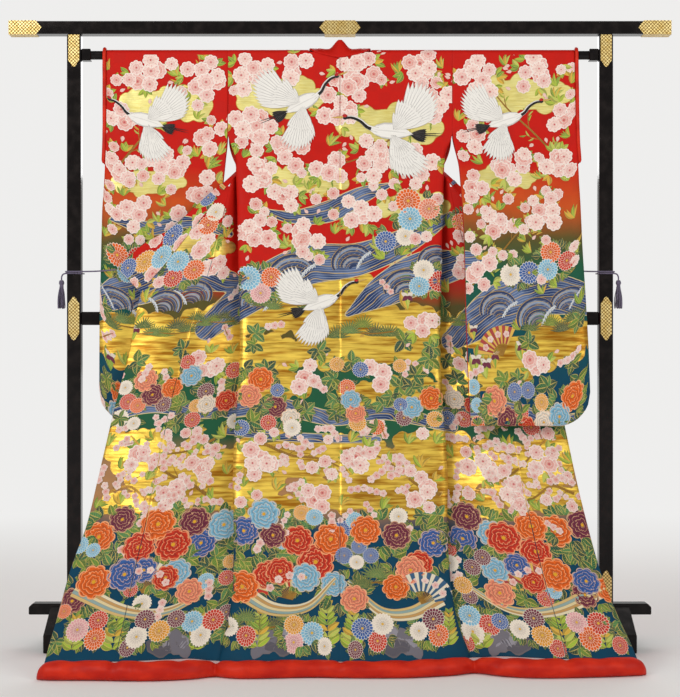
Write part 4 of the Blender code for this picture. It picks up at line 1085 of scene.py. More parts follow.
SCARLET, ORANGE, OLIVE = srgb(200, 24, 12), srgb(206, 84, 30), srgb(92, 84, 40)
GREEN, SEA_GREEN, TEAL = srgb(34, 92, 62), srgb(14, 82, 84), srgb(6, 66, 92)
SAND = srgb(176, 128, 84)
BODY_ZONES = [(0, TEAL), (0.34, TEAL), (0.40, SAND), (0.50, SAND), (0.58, GREEN), (0.74, GREEN)]
BODY_ZONES += [(0.83, OLIVE), (0.93, OLIVE), (0.985, SCARLET), (1.66, SCARLET)]
SLEEVE_ZONES = [(0, TEAL), (0.70, TEAL), (0.86, SEA_GREEN), (1.03, GREEN), (1.10, OLIVE)]
SLEEVE_ZONES += [(1.20, ORANGE), (1.31, SCARLET), (1.66, SCARLET)]
BODY_SILK = brocade("body_brocade", BODY_ZONES)
SLEEVE_SILK = brocade("sleeve_brocade", SLEEVE_ZONES)

lining = Finish("red_silk_lining", Specular_IOR_Level=0.16)
lining_place = lining.coordinates()
lining_wave = lining.streaks(lining_place, (6, 6, 2.5), 2)
lining_x, _, lining_z = lining.split(lining_place)
lining_weave = (lining_x / 0.00045).sin() + (lining_z / 0.00045).sin()
# the lining is darker in the troughs of its broad waves and lighter on their crests: painted shade
# and painted light, besides the waves' relief
LINING = lining.paint(
    Base_Color=lining.mix(lining_wave.step(0.3, 0.7), srgb(182, 22, 10), srgb(208, 36, 18)),
    Roughness=lining_wave * 0.1 + 0.5,
    Normal=lining.bump(lining_weave * 0.06 + lining_wave * 8, 0.0004, 0.6),
)

# ----------------------------------------------------------------- the panels of the cloth
# Each panel is a wall of brocade and red lining, with the soft creases that the weight of
# the sleeves, the folds at the arms and the drawn-out fronts leave in it.
CREASES = read_table("x0 z0 x1 z1 sag wide deep", """
-285 1395   60 1385 16 14   -4
-270 1368   20 1352 18 12  2.2
 -60 1318  290 1345 14 13 -3.4
-290 1330  -55 1215 10 11 -4.6
-275 1300 -105 1180  6 10  2.6
-270 1262 -130 1120  6 10 -3.4
 288 1310  120 1235  8 11 -3.6
 280 1275  155 1170  6 10  2.4
-240 1272  250 1284 22 15 -2.8
-200 1112  235 1098 20 18 -3.4
-210  985  120  995 14 14 -2.2
-245  835  240  842 12 12 -3.4
-235  808  150  818 12 10    2
-120  700  255  688 14 14 -2.6
-262  560   60  572 12 12 -2.8
  10  470  262  452 10 14 -2.6
-262  372  150  360 14 14 -3.2
-268  198  -60  186 10 10 -4.4
  60  232  268  214 10 12   -3
-180  118  140  124  6 10   -3
-330 1150 -520 985 20 14   -4
-320 1020 -535 960 16 12    3
-300  900 -540 945 18 13 -4.4
 330 1140  520 985 20 14   -4
 300  900  535 945 18 13 -4.4
-300  560 -590 640 14 13   -4
-310  420 -620 460 16 14    3
-340  185 -650 215 14 12   -4
 300  560  575 630 14 13   -4
 320  385  630 420 16 14    3
 350  190  670 205 14 12   -4
""")
SLEEVE_CREASES = read_table("x0 z0 x1 z1 sag wide deep", """
-330 1395 -600 1372 12 14   -3
-350 1560 -352 1150  6 11 -3.4
-590 1530 -602 1260  4 12  2.6
-345 1265 -480 1215 10 12 -3.4
-520 1030 -600  780  6 16   -3
-365  960 -375  700  4 12 -2.8
-370  842 -625  850 10 12   -3
 330 1405  600 1388 12 14   -3
 345 1550  350 1190  6 12   -3
 590 1500  605 1230  4 12  2.6
 350 1225  540 1200 10 12   -3
 375 1010  368  720  4 12 -3.2
 545 1060  615  800  6 16   -3
 360  872  630  862 10 12 -2.8
""")


class Strip:
    """One panel's outer face as (q, t): q across its field in metres, growing to the right,
    and t down from the pole. place() gives points on it, moved out by a lift."""

    def __init__(self, grid, shift, way, first, pitch, outward_at):
        self.grid, self.shift, self.way = grid, shift, way
        self.first, self.pitch, self.outward_at = first, pitch, outward_at
        self.width = np.linalg.norm(np.diff(grid, axis=1), axis=2).sum(1)
        normal = np.cross(np.gradient(grid, axis=1), np.gradient(grid, axis=0))
        normal /= np.linalg.norm(normal, axis=2)[..., None] + 1e-12
        self.normal = normal if normal[-3, -3, 1] * outward_at > 0 else -normal

    def place(self, q, t, lift):
        """Points between the grid's four nearest, for q and t held inside the panel."""
        rows, columns = self.grid.shape[:2]
        r = np.clip((t - self.first) / self.pitch, 0.4, rows - 1.001)
        width = np.interp(r, np.arange(rows), self.width)
        rim = 0.0008 / width
        u = np.clip((q - self.shift * width) / (self.way * width), rim, 1 - rim)
        c = u * (columns - 1)
        i, j = r.astype(int), np.minimum(c.astype(int), columns - 2)
        a, b = (r - i)[..., None], (c - j)[..., None]

        def between(values):
            low = values[i, j] * (1 - b) + values[i, j + 1] * b
            return low * (1 - a) + values[i + 1, j] * a * (1 - b) + values[i + 1, j + 1] * a * b

        return between(self.grid) + between(self.normal) * (WALL / 2 + np.reshape(lift, (-1, 1)))

    def find(self, x, z):
        """q and t of the place at a sideways distance and a height."""
        rows = self.grid.shape[0]
        r = np.interp(-z, -self.grid[:, -1, 2], np.arange(rows))
        row = self.grid[int(r)]
        away = np.abs(row[:, 0])
        arc = np.linspace(0, self.width[int(r)], len(row))
        start = int(np.argmin(away))
        if start > 0.6 * len(row):
            away, arc, start = away[::-1], arc[::-1], 0
        reach = np.interp(abs(x), away[start:], arc[start:], left=np.nan, right=np.nan)
        return self.shift * self.width[int(r)] + self.way * reach, self.first + r * self.pitch


def crease_depth(table, x, z):
    """How far the cloth stands out at a place: for each crease a bell curve of the distance
    from its sagging line, fading to nothing at the line's two ends."""
    depth = np.zeros(np.shape(x))
    for crease in table:
        way = np.array([crease.x1 - crease.x0, crease.z1 - crease.z0])
        length = np.linalg.norm(way)
        way /= length
        s = ((x - crease.x0) * way[0] + (z - crease.z0) * way[1]) / length
        off = (x - crease.x0) * -way[1] + (z - crease.z0) * way[0]
        held = np.clip(s, 0, 1)
        off = off + crease.sag * 4 * held * (1 - held) * (1 if way[0] >= 0 else -1)
        fade = np.clip(4 * held * (1 - held), 0, 1) ** 1.2
        wide = crease.wide * (1.2 + 0.8 * held)
        depth += crease.deep * fade * np.exp(-((off / wide) ** 2))
    return depth


def creased(grid, table):
    """Moves a panel's points forward or back by its creases, less and less near its ends."""
    moved, row = grid.copy(), np.arange(len(grid))
    end = np.clip(np.minimum(row, row[::-1]) / 14, 0, 1)[:, None]
    moved[..., 1] -= crease_depth(table, grid[..., 0], grid[..., 2]) * end
    return moved


def past_back(side, grid):
    """1 where a front shows beyond the back, 0 where it lies behind it."""
    edge = smooth(BACK_OUTLINE, WORDS[side], grid[..., 2])
    shown = ease(0.004, 0.04, np.abs(grid[..., 0]) - edge)
    return shown * (np.arange(grid.shape[1]) > grid.shape[1] // 2) * (grid[..., 2] < OPENING_Z)


def slot_of(name):
    """The slot of a panel's brocade and of its embroidery."""
    return "gold_and_teal_brocade" if "okumi" in name else "red_ground_brocade"


def shell(name, strip, finish, outwards, notch=0):
    """One panel: brocade outside and lining inside, with its clouds and water."""
    rows, columns = strip.grid.shape[:2]
    kept = np.ones((rows - 1, columns - 1), bool)
    kept[: RIDGE_ROWS - 2, :notch] = False
    used, faces = np.unique(grid_faces(rows, columns)[kept.ravel()], return_inverse=True)
    faces = faces.reshape(-1, 4)
    faces = faces if outwards else faces[:, ::-1]
    points = strip.grid.reshape(-1, 3)[used]
    faces, slot = faces.tolist(), slot_of(name)
    made = piece(name + "_cloth", points, faces, finish, LINING, slot=slot, replaces=[name])
    u = strip.width[:, None] * np.linspace(0, 1, columns)
    v = np.broadcast_to(strip.first + strip.pitch * np.arange(rows)[:, None], u.shape)
    with_uv(made, u.ravel()[used], v.ravel()[used])
    woven(made, points)
    wall = made.modifiers.new("wall", "SOLIDIFY")
    wall.thickness, wall.offset, wall.material_offset = WALL, 0, 1
    made.modifiers.new("level", "WEIGHTED_NORMAL").weight = 100
    return made


def layer_rows(sleeve):
    """How many rows each of a sleeve's two layers has, without those over the pole."""
    return (len(sleeve) - (2 * RIDGE_ROWS - 1)) // 2


PITCH = DROPS[1]
ridge = -RIDGE_ROWS * PITCH
STRIPS, CLOTHS = {}, {}
for side, word in WORDS.items():
    flat = back_grid(side)
    back = creased(flat, CREASES)
    back[:, -6:, 1] += (flat[:, -6:, 1] - back[:, -6:, 1]) * np.linspace(0, 1, 6)
    front, okumi = front_grid(side), okumi_grid(side)
    front[..., 1] -= crease_depth(CREASES, front[..., 0], front[..., 2]) * past_back(side, front)
    okumi = creased(okumi, CREASES)
    seam = front[len(front) - len(okumi) :, -1, 1]
    okumi[..., 1] += (seam - okumi[:, 0, 1])[:, None] * np.linspace(1, 0, OKUMI_COLUMNS) ** 3
    STRIPS["back_" + word] = Strip(back, 0, side, ridge, PITCH, -1)
    STRIPS["front_" + word] = Strip(front, -side, side, ridge, PITCH, -1)
    STRIPS["okumi_" + word] = Strip(okumi, 0, side, DROPS[BODY_Z <= OKUMI_TOP][0], PITCH, -1)
    sleeve = sleeve_grid(side, SLEEVES[side])
    layer = layer_rows(sleeve)
    sleeve[:layer] = creased(sleeve[:layer], SLEEVE_CREASES)
    sleeve_pitch = (HANG_TOP - SLEEVES[side][-1].z) / layer
    STRIPS["sleeve_" + word] = Strip(sleeve, 0, side, 0, sleeve_pitch, -1)
    for kind, silk, outwards, notch in (
        ("back_", BODY_SILK, side == LEFT, 12),
        ("front_", BODY_SILK, side == LEFT, 0),
        ("okumi_", BODY_SILK, side == LEFT, 0),
        ("sleeve_", SLEEVE_SILK, side == RIGHT, 0),
    ):
        name = kind + word
        CLOTHS[name] = shell(name, STRIPS[name], silk, outwards, notch)

# ------------------------------------------------------------------------- the embroidery
# Flowers, leaves, cranes and fans are worked over the ground in satin stitch with silk of
# two or three shades, and their outlines are laid in couched thread.
Stamp = namedtuple("Stamp", "points faces uv edge tones finish")
# the first stamp's height over the silk, each next one's over it, and where they start again
LOWEST_LIFT, LIFT_STEP, LIFT_CYCLE = 0.00030, 0.000013, 0.0009
FLOWER_LIFT = 0.0007  # flowers stand over leaves and twigs
FOLDED_Z = 1.32  # below it a front may be folded away


class Embroidery:
    """All motifs worked on one field of panels. Each stamp lies a little above the one
    before, as satin stitch does, and is cut at the seams between the panels."""

    def __init__(self, strips, rear=False):
        self.strips, self.rear = strips, rear
        self.taken = []  # (q, t, radius) of each large motif
        self.worked = {name: [] for name in strips}
        self.lift = LOWEST_LIFT

    def find(self, x, z):
        """q and t of a place given sideways and by height, or None off the cloth."""
        near = [strip for strip in self.strips.values() if strip.grid[-1, -1, 0] * x > 0]
        places = [strip.find(x, z) for strip in near]
        return next((place for place in places if not np.isnan(place[0])), None)

    def free(self, place, radius):
        """Whether no large motif lies within a radius of a place."""
        gaps = (math.hypot(place[0] - q, place[1] - t) - r for q, t, r in self.taken)
        return min(gaps, default=1.0) > radius

    def stamp(self, shape, at, size, turn, tone, finish, flip=1, raised=0.0):
        """Places a flat shape, in metres times size, turned and moved to (q, t)."""
        points, faces, uv, edge = shape
        c, s = math.cos(turn) * size, math.sin(turn) * size
        q = at[0] + flip * (points[:, 0] * c - points[:, 1] * s)
        t = at[1] - (points[:, 0] * s + points[:, 1] * c)
        self.lift = LOWEST_LIFT + (self.lift - LOWEST_LIFT + LIFT_STEP) % LIFT_CYCLE
        raised += FLOWER_LIFT if finish in (BLOSSOM, PEONY, CHRYSANTHEMUM) else 0
        order = -1 if (flip < 0) != self.rear else 1
        tones = np.broadcast_to(tone[:3], (len(points), 3))
        for name, strip in self.strips.items():
            rows = len(strip.grid)
            r = np.clip((t - strip.first) / strip.pitch, 0, rows - 1)
            width = np.interp(r, np.arange(rows), strip.width)
            u = (q - strip.shift * width) / (strip.way * width)
            top, last = (strip.first + strip.pitch * row for row in (0.4, rows - 1.2))
            beyond = np.stack([u <= 0, u >= 1, t <= top, t >= last], 1)
            if beyond.all(0).any():
                continue
            where = strip.place(q, t, self.lift + raised)
            # nothing is worked on the part of a front that is folded away behind the back
            facing = (strip.place(q, t, 1.0) - where)[:, 1] * strip.outward_at
            hidden = (facing < 0.1) & (where[:, 2] < FOLDED_Z)
            kept = [
                face[::order]
                for face in faces
                if not (beyond[list(face)].all(0).any() or hidden[list(face)].any())
            ]
            if kept:
                self.worked[name].append(Stamp(where, kept, uv, edge, tones, finish))

    def finish(self):
        """Joins each panel's stamps into one object."""
        for name, stamps in self.worked.items():
            if not stamps:
                continue
            points, faces, uv, edge, tones, finishes = zip(*stamps)
            first = np.concatenate([[0], np.cumsum([len(p) for p in points])])
            joined = [
                [i + start for i in face] for kept, start in zip(faces, first) for face in kept
            ]
            named, slot = name + "_embroidery", slot_of(name)
            made = piece(named, np.vstack(points), joined, *FINISHES, slot=slot)
            with_uv(made, *np.vstack(uv).T)
            attribute(made, "edge", np.concatenate(edge))
            colours = np.pad(np.vstack(tones), ((0, 0), (0, 1)), constant_values=1.0)
            tone = made.data.attributes.new("tone", "FLOAT_COLOR", "POINT")
            tone.data.foreach_set("color", colours.ravel())
            slots = np.repeat(finishes, [len(kept) for kept in faces])
            made.data.polygons.foreach_set("material_index", slots)


def disc(lobes, depth, sides, rings):
    """A flower's flat outline: a circle whose edge is scalloped by |sin| of the angle."""
    angle = round_angles(sides)
    reach = 1 - depth + depth * np.abs(np.sin(lobes * angle / 2)) ** 0.6
    share = np.linspace(0, 1, rings + 1)[1:, None]
    ring = np.stack([share * reach * np.cos(angle), share * reach * np.sin(angle)], -1)
    points = np.vstack([[0, 0], ring.reshape(-1, 2)])
    after = np.roll(np.arange(sides), -1)
    faces = [(0, i + 1, j + 1) for i, j in zip(range(sides), after)]
    faces += (grid_faces(rings, sides, closed=True)[:, ::-1] + 1).tolist()
    edge = np.concatenate([[0], np.repeat(share[:, 0], sides)])
    return points, faces, points.copy(), edge


def blade(width, bend=0.0, fullest=0.45, count=6):
    """A leaf or feather of length 1 along x: its half width swells from nothing to the
    fullest place and back, and its middle line bends sideways as a parabola."""
    s = np.linspace(0, 1, count + 1)
    power = math.log(0.5) / math.log(fullest)
    half = width * np.sin(math.pi * s**power) ** 0.8
    middle = bend * 4 * s * (1 - s)
    across = np.array([-1, 0, 1])
    x = np.repeat(s, 3)
    points = np.stack([x, (middle[:, None] + half[:, None] * across).ravel()], 1)
    uv = np.stack([np.tile(across, count + 1), x], 1).astype(float)
    return points, grid_faces(count + 1, 3)[:, ::-1].tolist(), uv, np.abs(uv[:, 0])


def square_to(path):
    """Ways square to a flat path at each of its points."""
    way = unit(np.gradient(path, axis=0))
    return np.stack([-way[:, 1], way[:, 0]], 1)


def ribbon(path, half):
    """A band of its own width along a flat path, square to it at each point."""
    path = np.array(path, float)
    side_way = square_to(path) * np.reshape(half, (-1, 1))
    points = np.stack([path - side_way, path, path + side_way], 1).reshape(-1, 2)
    along_it = np.repeat(np.linspace(0, 1, len(path)), 3)
    uv = np.stack([np.tile([-1.0, 0, 1], len(path)), along_it], 1)
    return points, grid_faces(len(path), 3)[:, ::-1].tolist(), uv, np.abs(uv[:, 0])


class Stitch(Finish):
    """Embroidery silk: tone is the motif's own colour, edge runs 0 inside to 1 at its rim."""

    def __init__(self, name, **constants):
        super().__init__(name, Specular_IOR_Level=0.25, **constants)
        self.tone = self.node("Attribute", {"attribute_name": "tone"}, (), "Color")
        self.edge = self.node("Attribute", {"attribute_name": "edge"}, (), "Fac")
        self.x, self.y, _ = self.split(self.coordinates("UV"))
        self.place = self.coordinates()

    def polar(self):
        """Distance and angle round a flower's middle."""
        reach = (self.x * self.x + self.y * self.y).power(0.5)
        return reach, self.y.math("ARCTAN2", self.x)

    def petals(self, angle, count, offset=0.0):
        """0 along each petal's middle, 1 between two petals."""
        return ((angle * (count / (2 * math.pi)) + offset).fract() - 0.5).abs() * 2

    def work(self, colour, threads, roughness=0.45):
        return self.paint(
            Base_Color=colour,
            Roughness=threads * 0.12 + roughness,
            Normal=self.bump(threads, 0.00030, 0.7),
        )


def blossom_silk():
    """Double cherry blossom: an outer and an inner ring of petals round a deep pink eye."""
    silk = Stitch("blossom_silk")
    reach, angle = silk.polar()
    outer, inner = silk.petals(angle, 8, 0.5), silk.petals(angle, 6)
    heart = silk.petals(angle, 5, 0.3)
    inner_reach = reach + inner * inner * 0.09
    heart_reach = reach + heart * heart * 0.07
    second, third = inner_reach.step(0.60, 0.57), heart_reach.step(0.31, 0.29)
    part = outer.step(0.80, 0.96) * (1 - second) + inner.step(0.80, 0.96) * second * (1 - third)
    rims = (inner_reach - 0.585).abs().step(0.035, 0.012)
    rims = rims.most((heart_reach - 0.30).abs().step(0.030, 0.010))
    pale = silk.mix(0.55, silk.tone, srgb(252, 238, 228))
    colour = silk.mix(reach.step(0.15, 1.0), silk.tone, pale)
    colour = silk.mix(part * 0.75, colour, srgb(214, 150, 142))
    colour = silk.mix(rims.most(silk.edge.step(0.87, 0.93)) * 0.85, colour, srgb(250, 240, 228))
    colour = silk.mix(reach.step(0.14, 0.07), colour, srgb(206, 92, 96))
    return silk.work(colour, (angle * 62).sin() * 0.5 + 0.5)


def peony_silk():
    """Peony: ruffled rings of petals, dark inside each and outlined in a lighter shade."""
    silk = Stitch("peony_silk")
    reach, angle = silk.polar()
    wobble = silk.streaks(silk.coordinates("UV"), (2.6, 2.6, 0), 1)
    ruffle = (angle * 3.5 + wobble * 5).sin().abs() * 0.42 + (angle * 8.5).sin().abs() * 0.16
    rings = reach * 4.3 - ruffle + wobble * 1.5
    fold = rings.fract()
    outline = (fold - 0.90).abs().step(0.10, 0.05).most(silk.edge.step(0.90, 0.95))
    dark = silk.mix(0.42, silk.tone, (0.03, 0.0, 0.01, 1))
    light = silk.mix(0.55, silk.tone, srgb(255, 206, 150))
    colour = silk.mix(fold.step(0.0, 0.75), dark, silk.tone)
    colour = silk.mix(outline, colour, light)
    colour = silk.mix(reach.step(0.13, 0.08), colour, srgb(236, 176, 40))
    return silk.work(colour, (angle * 50 + rings * 9).sin() * 0.5 + 0.5)


def chrysanthemum_silk():
    """Chrysanthemum: three rings of narrow petals, each outlined, round a yellow eye."""
    silk = Stitch("chrysanthemum_silk")
    reach, angle = silk.polar()
    first, second = silk.petals(angle, 20), silk.petals(angle, 16, 0.4)
    third = silk.petals(angle, 10, 0.2)
    second_reach = reach + second * second * 0.08
    third_reach = reach + third * third * 0.08
    middle, inmost = second_reach.step(0.69, 0.66), third_reach.step(0.37, 0.34)
    between = first * (1 - middle) + second * middle * (1 - inmost) + third * inmost
    tips = (second_reach - 0.675).abs().step(0.026, 0.008)
    tips = tips.most((third_reach - 0.355).abs().step(0.026, 0.008))
    light = silk.mix(0.72, silk.tone, srgb(255, 246, 226))
    deep = silk.mix(0.30, silk.tone, (0.05, 0.01, 0.01, 1))
    colour = silk.mix(reach.step(0.1, 0.9), deep, silk.tone)
    outline = between.step(0.76, 0.94).most(tips).most(silk.edge.step(0.91, 0.96))
    colour = silk.mix(outline, colour, light)
    colour = silk.mix(reach.step(0.13, 0.09), colour, srgb(230, 182, 60))
    return silk.work(colour, (reach * 60).sin() * 0.5 + 0.5)


def leaf_silk():
    """Leaf: two shades either side of a gold vein, with side veins and a gold outline."""
    silk = Stitch("leaf_silk")
    slant = ((silk.y * 7 - silk.x.abs() * 1.6).fract() - 0.5).abs()
    shade = silk.mix(0.38, silk.tone, (0.0, 0.012, 0.012, 1))
    colour = silk.mix(silk.x.step(-0.15, 0.15), silk.tone, shade)
    gold = srgb(226, 196, 104)
    colour = silk.mix(slant.step(0.09, 0.03) * 0.55, colour, gold)
    vein = silk.x.abs().step(0.12, 0.06)
    colour = silk.mix(vein.most(silk.edge.step(0.82, 0.90)) * 0.7, colour, gold)
    return silk.work(colour, (silk.y * 90 - silk.x.abs() * 30).sin() * 0.5 + 0.5)


def feather_silk():
    """Feather or plain band: one shade, a fine grey edge and a quill, with slanting barbs."""
    silk = Stitch("feather_silk")
    grey = silk.mix(0.45, silk.tone, srgb(120, 112, 108))
    colour = silk.mix(silk.edge.step(0.72, 0.90), silk.tone, grey)
    colour = silk.mix(silk.x.abs().step(0.10, 0.04) * 0.5, colour, grey)
    return silk.work(colour, (silk.y * 120 - silk.x.abs() * 24).sin() * 0.5 + 0.5, 0.4)


def gilt_thread():
    """Couched gold thread: a twisted metal strip laid along a line."""
    silk = Stitch("gilt_thread", Metallic=0.75)
    twist = (silk.y * 200 + silk.x * 3).sin() * 0.5 + 0.5
    colour = silk.mix(twist * 0.6, silk.tone, silk.mix(0.4, silk.tone, (0.10, 0.05, 0.01, 1)))
    return silk.work(colour, twist, 0.30)


# the numbers name the finishes' places in the list
BLOSSOM, PEONY, CHRYSANTHEMUM, LEAF, FEATHER, GILT = range(6)
FINISHES = [blossom_silk(), peony_silk(), chrysanthemum_silk(), leaf_silk(), feather_silk()]
FINISHES.append(gilt_thread())

BLOSSOM_DISC = disc(8, 0.13, 24, 2)
PEONY_DISC = disc(9, 0.16, 54, 2)
DAISY_DISC = disc(20, 0.12, 60, 1)
PLUM_DISC = disc(5, 0.22, 20, 1)
LEAF_BLADE = blade(0.24, 0.06)
SLIM_LEAF = blade(0.12, 0.10)
BROAD_LEAF = blade(0.34, 0.03, 0.4)
SLIM_TWIG = blade(0.03, 0.05)
GOLDEN_ANGLE = 2.39996  # between one blossom of a mass and the next

PINKS = [srgb(244, 190, 178), srgb(240, 174, 162), srgb(250, 208, 194), srgb(236, 158, 144)]
SPRING = [srgb(166, 196, 62), srgb(192, 206, 96), srgb(228, 180, 62), srgb(124, 170, 60)]
DARK_LEAVES = [srgb(40, 104, 64), srgb(78, 134, 78), srgb(104, 140, 56), srgb(20, 78, 66)]
GOLDEN, BRONZE, FOAM = srgb(222, 182, 92), srgb(172, 128, 60), srgb(226, 230, 232)
WHITE, BLACK, CROWN_RED = srgb(244, 240, 232), srgb(22, 20, 22), srgb(200, 36, 30)
WAVE_BLUES = [srgb(40, 60, 102), srgb(146, 162, 188), srgb(72, 94, 136)]
FLOWER_TONES = {
    "orange": srgb(232, 98, 14),
    "vermilion": srgb(208, 48, 18),
    "maroon": srgb(118, 44, 66),
    "blue": srgb(50, 96, 164),
    "sky": srgb(130, 188, 214),
    "salmon": srgb(236, 136, 104),
    "ivory": srgb(240, 226, 208),
    "rose": srgb(232, 168, 168),
    "saffron": srgb(232, 158, 40),
}
BRIGHT = ("orange", "vermilion", "maroon", "blue", "saffron", "vermilion", "sky", "ivory")
PAPERS = {
    "red": [srgb(206, 52, 36), srgb(240, 214, 150)],
    "blue": [srgb(52, 96, 132), srgb(238, 226, 200)],
    "gold": [srgb(232, 186, 84), srgb(180, 66, 60)],
    "pale": [srgb(240, 226, 190), srgb(206, 158, 92), srgb(236, 214, 160), srgb(150, 176, 170)]
    + [srgb(226, 190, 120)],
}


def towards(at, reach, turn, squash=1.0):
    """The place at a distance from another in a direction; squash flattens its height."""
    return at[0] + reach * math.cos(turn), at[1] - reach * math.sin(turn) * squash


def inside(at, x, y, size, turn, flip):
    """The place of a point of a motif's own drawing, with the drawing turned and flipped."""
    c, s = math.cos(turn), math.sin(turn)
    return at[0] + flip * size * (x * c - y * s), at[1] - size * (x * s + y * c)


def spray(work, at, size, rng, leaves=SPRING, count=4, spread=2.2, aim=None, leaf=LEAF_BLADE):
    """A fan of leaves from one place."""
    aim = rng.uniform(0, 2 * math.pi) if aim is None else aim
    for k in range(count):
        turn = aim + spread * ((k + 0.5) / count - 0.5) + rng.uniform(-0.15, 0.15)
        length = size * rng.uniform(0.8, 1.15)
        work.stamp(leaf, at, length, turn, leaves[rng.integers(len(leaves))], LEAF)


def cherry(work, centre, radius, seed, size=0.0225):
    """A mass of cherry blossom: leaves and buds round its edge, then blossoms set in a
    sunflower spiral so that they just overlap, deep pink ones under the pale ones."""
    work.taken.append((*centre, radius))
    rng = np.random.default_rng(seed)
    radius *= 1.22
    count = max(2, int(1.15 * (radius / size) ** 2))
    for _ in range(max(3, int(radius / 0.013))):
        turn = rng.uniform(0, 2 * math.pi)
        at = towards(centre, radius * 0.92, turn)
        spray(work, at, size * 1.25, rng, aim=turn, count=3)
        bud = towards(at, size * 1.3, turn + 0.5)
        work.stamp(blade(0.30, 0.0, 0.6, 4), bud, size * 0.75, turn, PINKS[2], FEATHER)
    for _ in range(count // 2):
        away, turn = radius * rng.uniform(0.1, 0.75), rng.uniform(0, 6.28)
        work.stamp(BLOSSOM_DISC, towards(centre, away, turn), size * 1.15, turn, PINKS[3], BLOSSOM)
    for k in np.argsort(rng.uniform(size=count)):
        away = radius * math.sqrt((k + 0.5) / count) * rng.uniform(0.9, 1.08)
        at = towards(centre, away, k * GOLDEN_ANGLE + seed)
        tone = PINKS[rng.choice(4, p=[0.4, 0.2, 0.3, 0.1])]
        across = size * rng.uniform(0.86, 1.14)
        work.stamp(BLOSSOM_DISC, at, across, rng.uniform(0, 6.28), tone, BLOSSOM)


def bouquet(work, centre, size, seed, kind, *tones):
    """A few large flowers side by side over a fan of broad leaves."""
    rng = np.random.default_rng(seed)
    count = len(tones)
    shape, finish = (PEONY_DISC, PEONY) if kind == "peony" else (DAISY_DISC, CHRYSANTHEMUM)
    size *= 1 if kind == "peony" else 1.25
    work.taken.append((*centre, size * (0.55 + 0.28 * count)))
    sprays = count * 3 + 2
    for k in range(sprays):
        turn = 2 * math.pi * k / sprays + rng.uniform(-0.2, 0.2)
        at = towards(centre, size * (0.5 + 0.35 * count), turn, 0.7)
        spray(work, at, size * 0.85, rng, DARK_LEAVES, 3, 1.7, turn, BROAD_LEAF)
    away = 0 if count == 1 else size * (0.62 + 0.16 * count)
    for k, tone in enumerate(tones):
        at = towards(centre, away, 2 * math.pi * k / count + seed * 1.3, 0.8)
        across = size * rng.uniform(0.88, 1.12)
        work.stamp(shape, at, across, rng.uniform(0, 6.28), FLOWER_TONES[tone], finish)


def branch(work, places, half, seed, flower):
    """A twig through given places, tapering, with side shoots and small flowers."""
    rng = np.random.default_rng(seed)
    line = spline(np.array(places) * [1, -1], 40)
    start = line[0]
    taper = np.linspace(half, half * 0.35, 40)
    work.stamp(ribbon(line - start, taper), start * [1, -1], 1.0, 0, BRONZE, GILT)
    for k in range(4, 38, 4):
        turn = rng.uniform(0.5, 1.1) * (1 if (k // 4) % 2 else -1)
        way, place = line[k + 1] - line[k - 1], line[k] * [1, -1]
        aim = math.atan2(way[1], way[0]) + turn
        length = rng.uniform(0.025, 0.05)
        work.stamp(SLIM_TWIG, place, length, aim, BRONZE, GILT)
        for share in (0.45, 0.75, 1.0):
            at = towards(place, length * share, aim)
            if flower == "leaf":
                lean = aim + rng.uniform(-1, 1)
                work.stamp(SLIM_LEAF, at, 0.02, lean, SPRING[rng.integers(4)], LEAF)
            elif rng.uniform() < 0.75:
                size, lean = rng.uniform(0.007, 0.0105), rng.uniform(0, 6)
                work.stamp(PLUM_DISC, at, size, lean, PINKS[rng.integers(4)], BLOSSOM)


def crane(work, at, span, turn, flip):
    """A crane in flight, drawn facing right: each wing is a fan of long feathers under a
    fan of short ones, then tail, body, legs, and a curved neck with a red crown."""
    work.taken.append((*at, span * 0.42))

    def lay(shape, x, y, size, angle, tone):
        place = inside(at, x, y, span, turn, flip)
        work.stamp(shape, place, size * span, angle + turn, tone, FEATHER, flip, raised=0.0016)

    feather, plume = blade(0.060, 0.05, 0.6), blade(0.11, 0.04, 0.6)
    for low, high, x, y, reach in ((1.75, 2.75, -0.02, 0.03, 0.52), (3.75, 4.75, 0, -0.02, 0.46)):
        for k, angle in enumerate(np.linspace(low, high, 13)):
            swell = 0.74 + 0.26 * math.sin(math.pi * (k + 3) / 15)
            lay(feather, x, y, reach * swell, angle, WHITE)
        for angle in np.linspace(low - 0.12, high - 0.1, 10):
            lay(plume, x + 0.02, y, reach * 0.56, angle, WHITE)
        for angle in np.linspace(low - 0.2, high - 0.25, 7):
            lay(plume, x + 0.04, y, reach * 0.32, angle, WHITE)
    for angle in np.linspace(2.85, 3.55, 7):
        lay(plume, -0.13, 0.0, 0.17, angle, BLACK)
    for lean in (3.05, 3.13):
        lay(blade(0.014), -0.12, -0.01, 0.34, lean, BLACK)
    lay(blade(0.19, 0.02, 0.55), -0.17, -0.005, 0.42, 0.06, WHITE)
    neck = spline([(0.16, 0.02), (0.26, 0.045), (0.33, 0.10), (0.41, 0.13), (0.47, 0.125)], 16)
    lay(ribbon(neck, np.linspace(0.026, 0.013, 16)), 0, 0, 1.0, 0, WHITE)
    lay(ribbon(neck[3:] + (0, -0.006), np.linspace(0.015, 0.011, 13)), 0, 0, 1.0, 0, BLACK)
    lay(disc(1, 0, 12, 1), 0.475, 0.126, 0.024, 0, BLACK)
    lay(blade(0.34, 0, 0.5), 0.455, 0.143, 0.050, -0.1, CROWN_RED)
    lay(blade(0.09, 0, 0.2), 0.490, 0.126, 0.120, -0.08, GOLDEN)


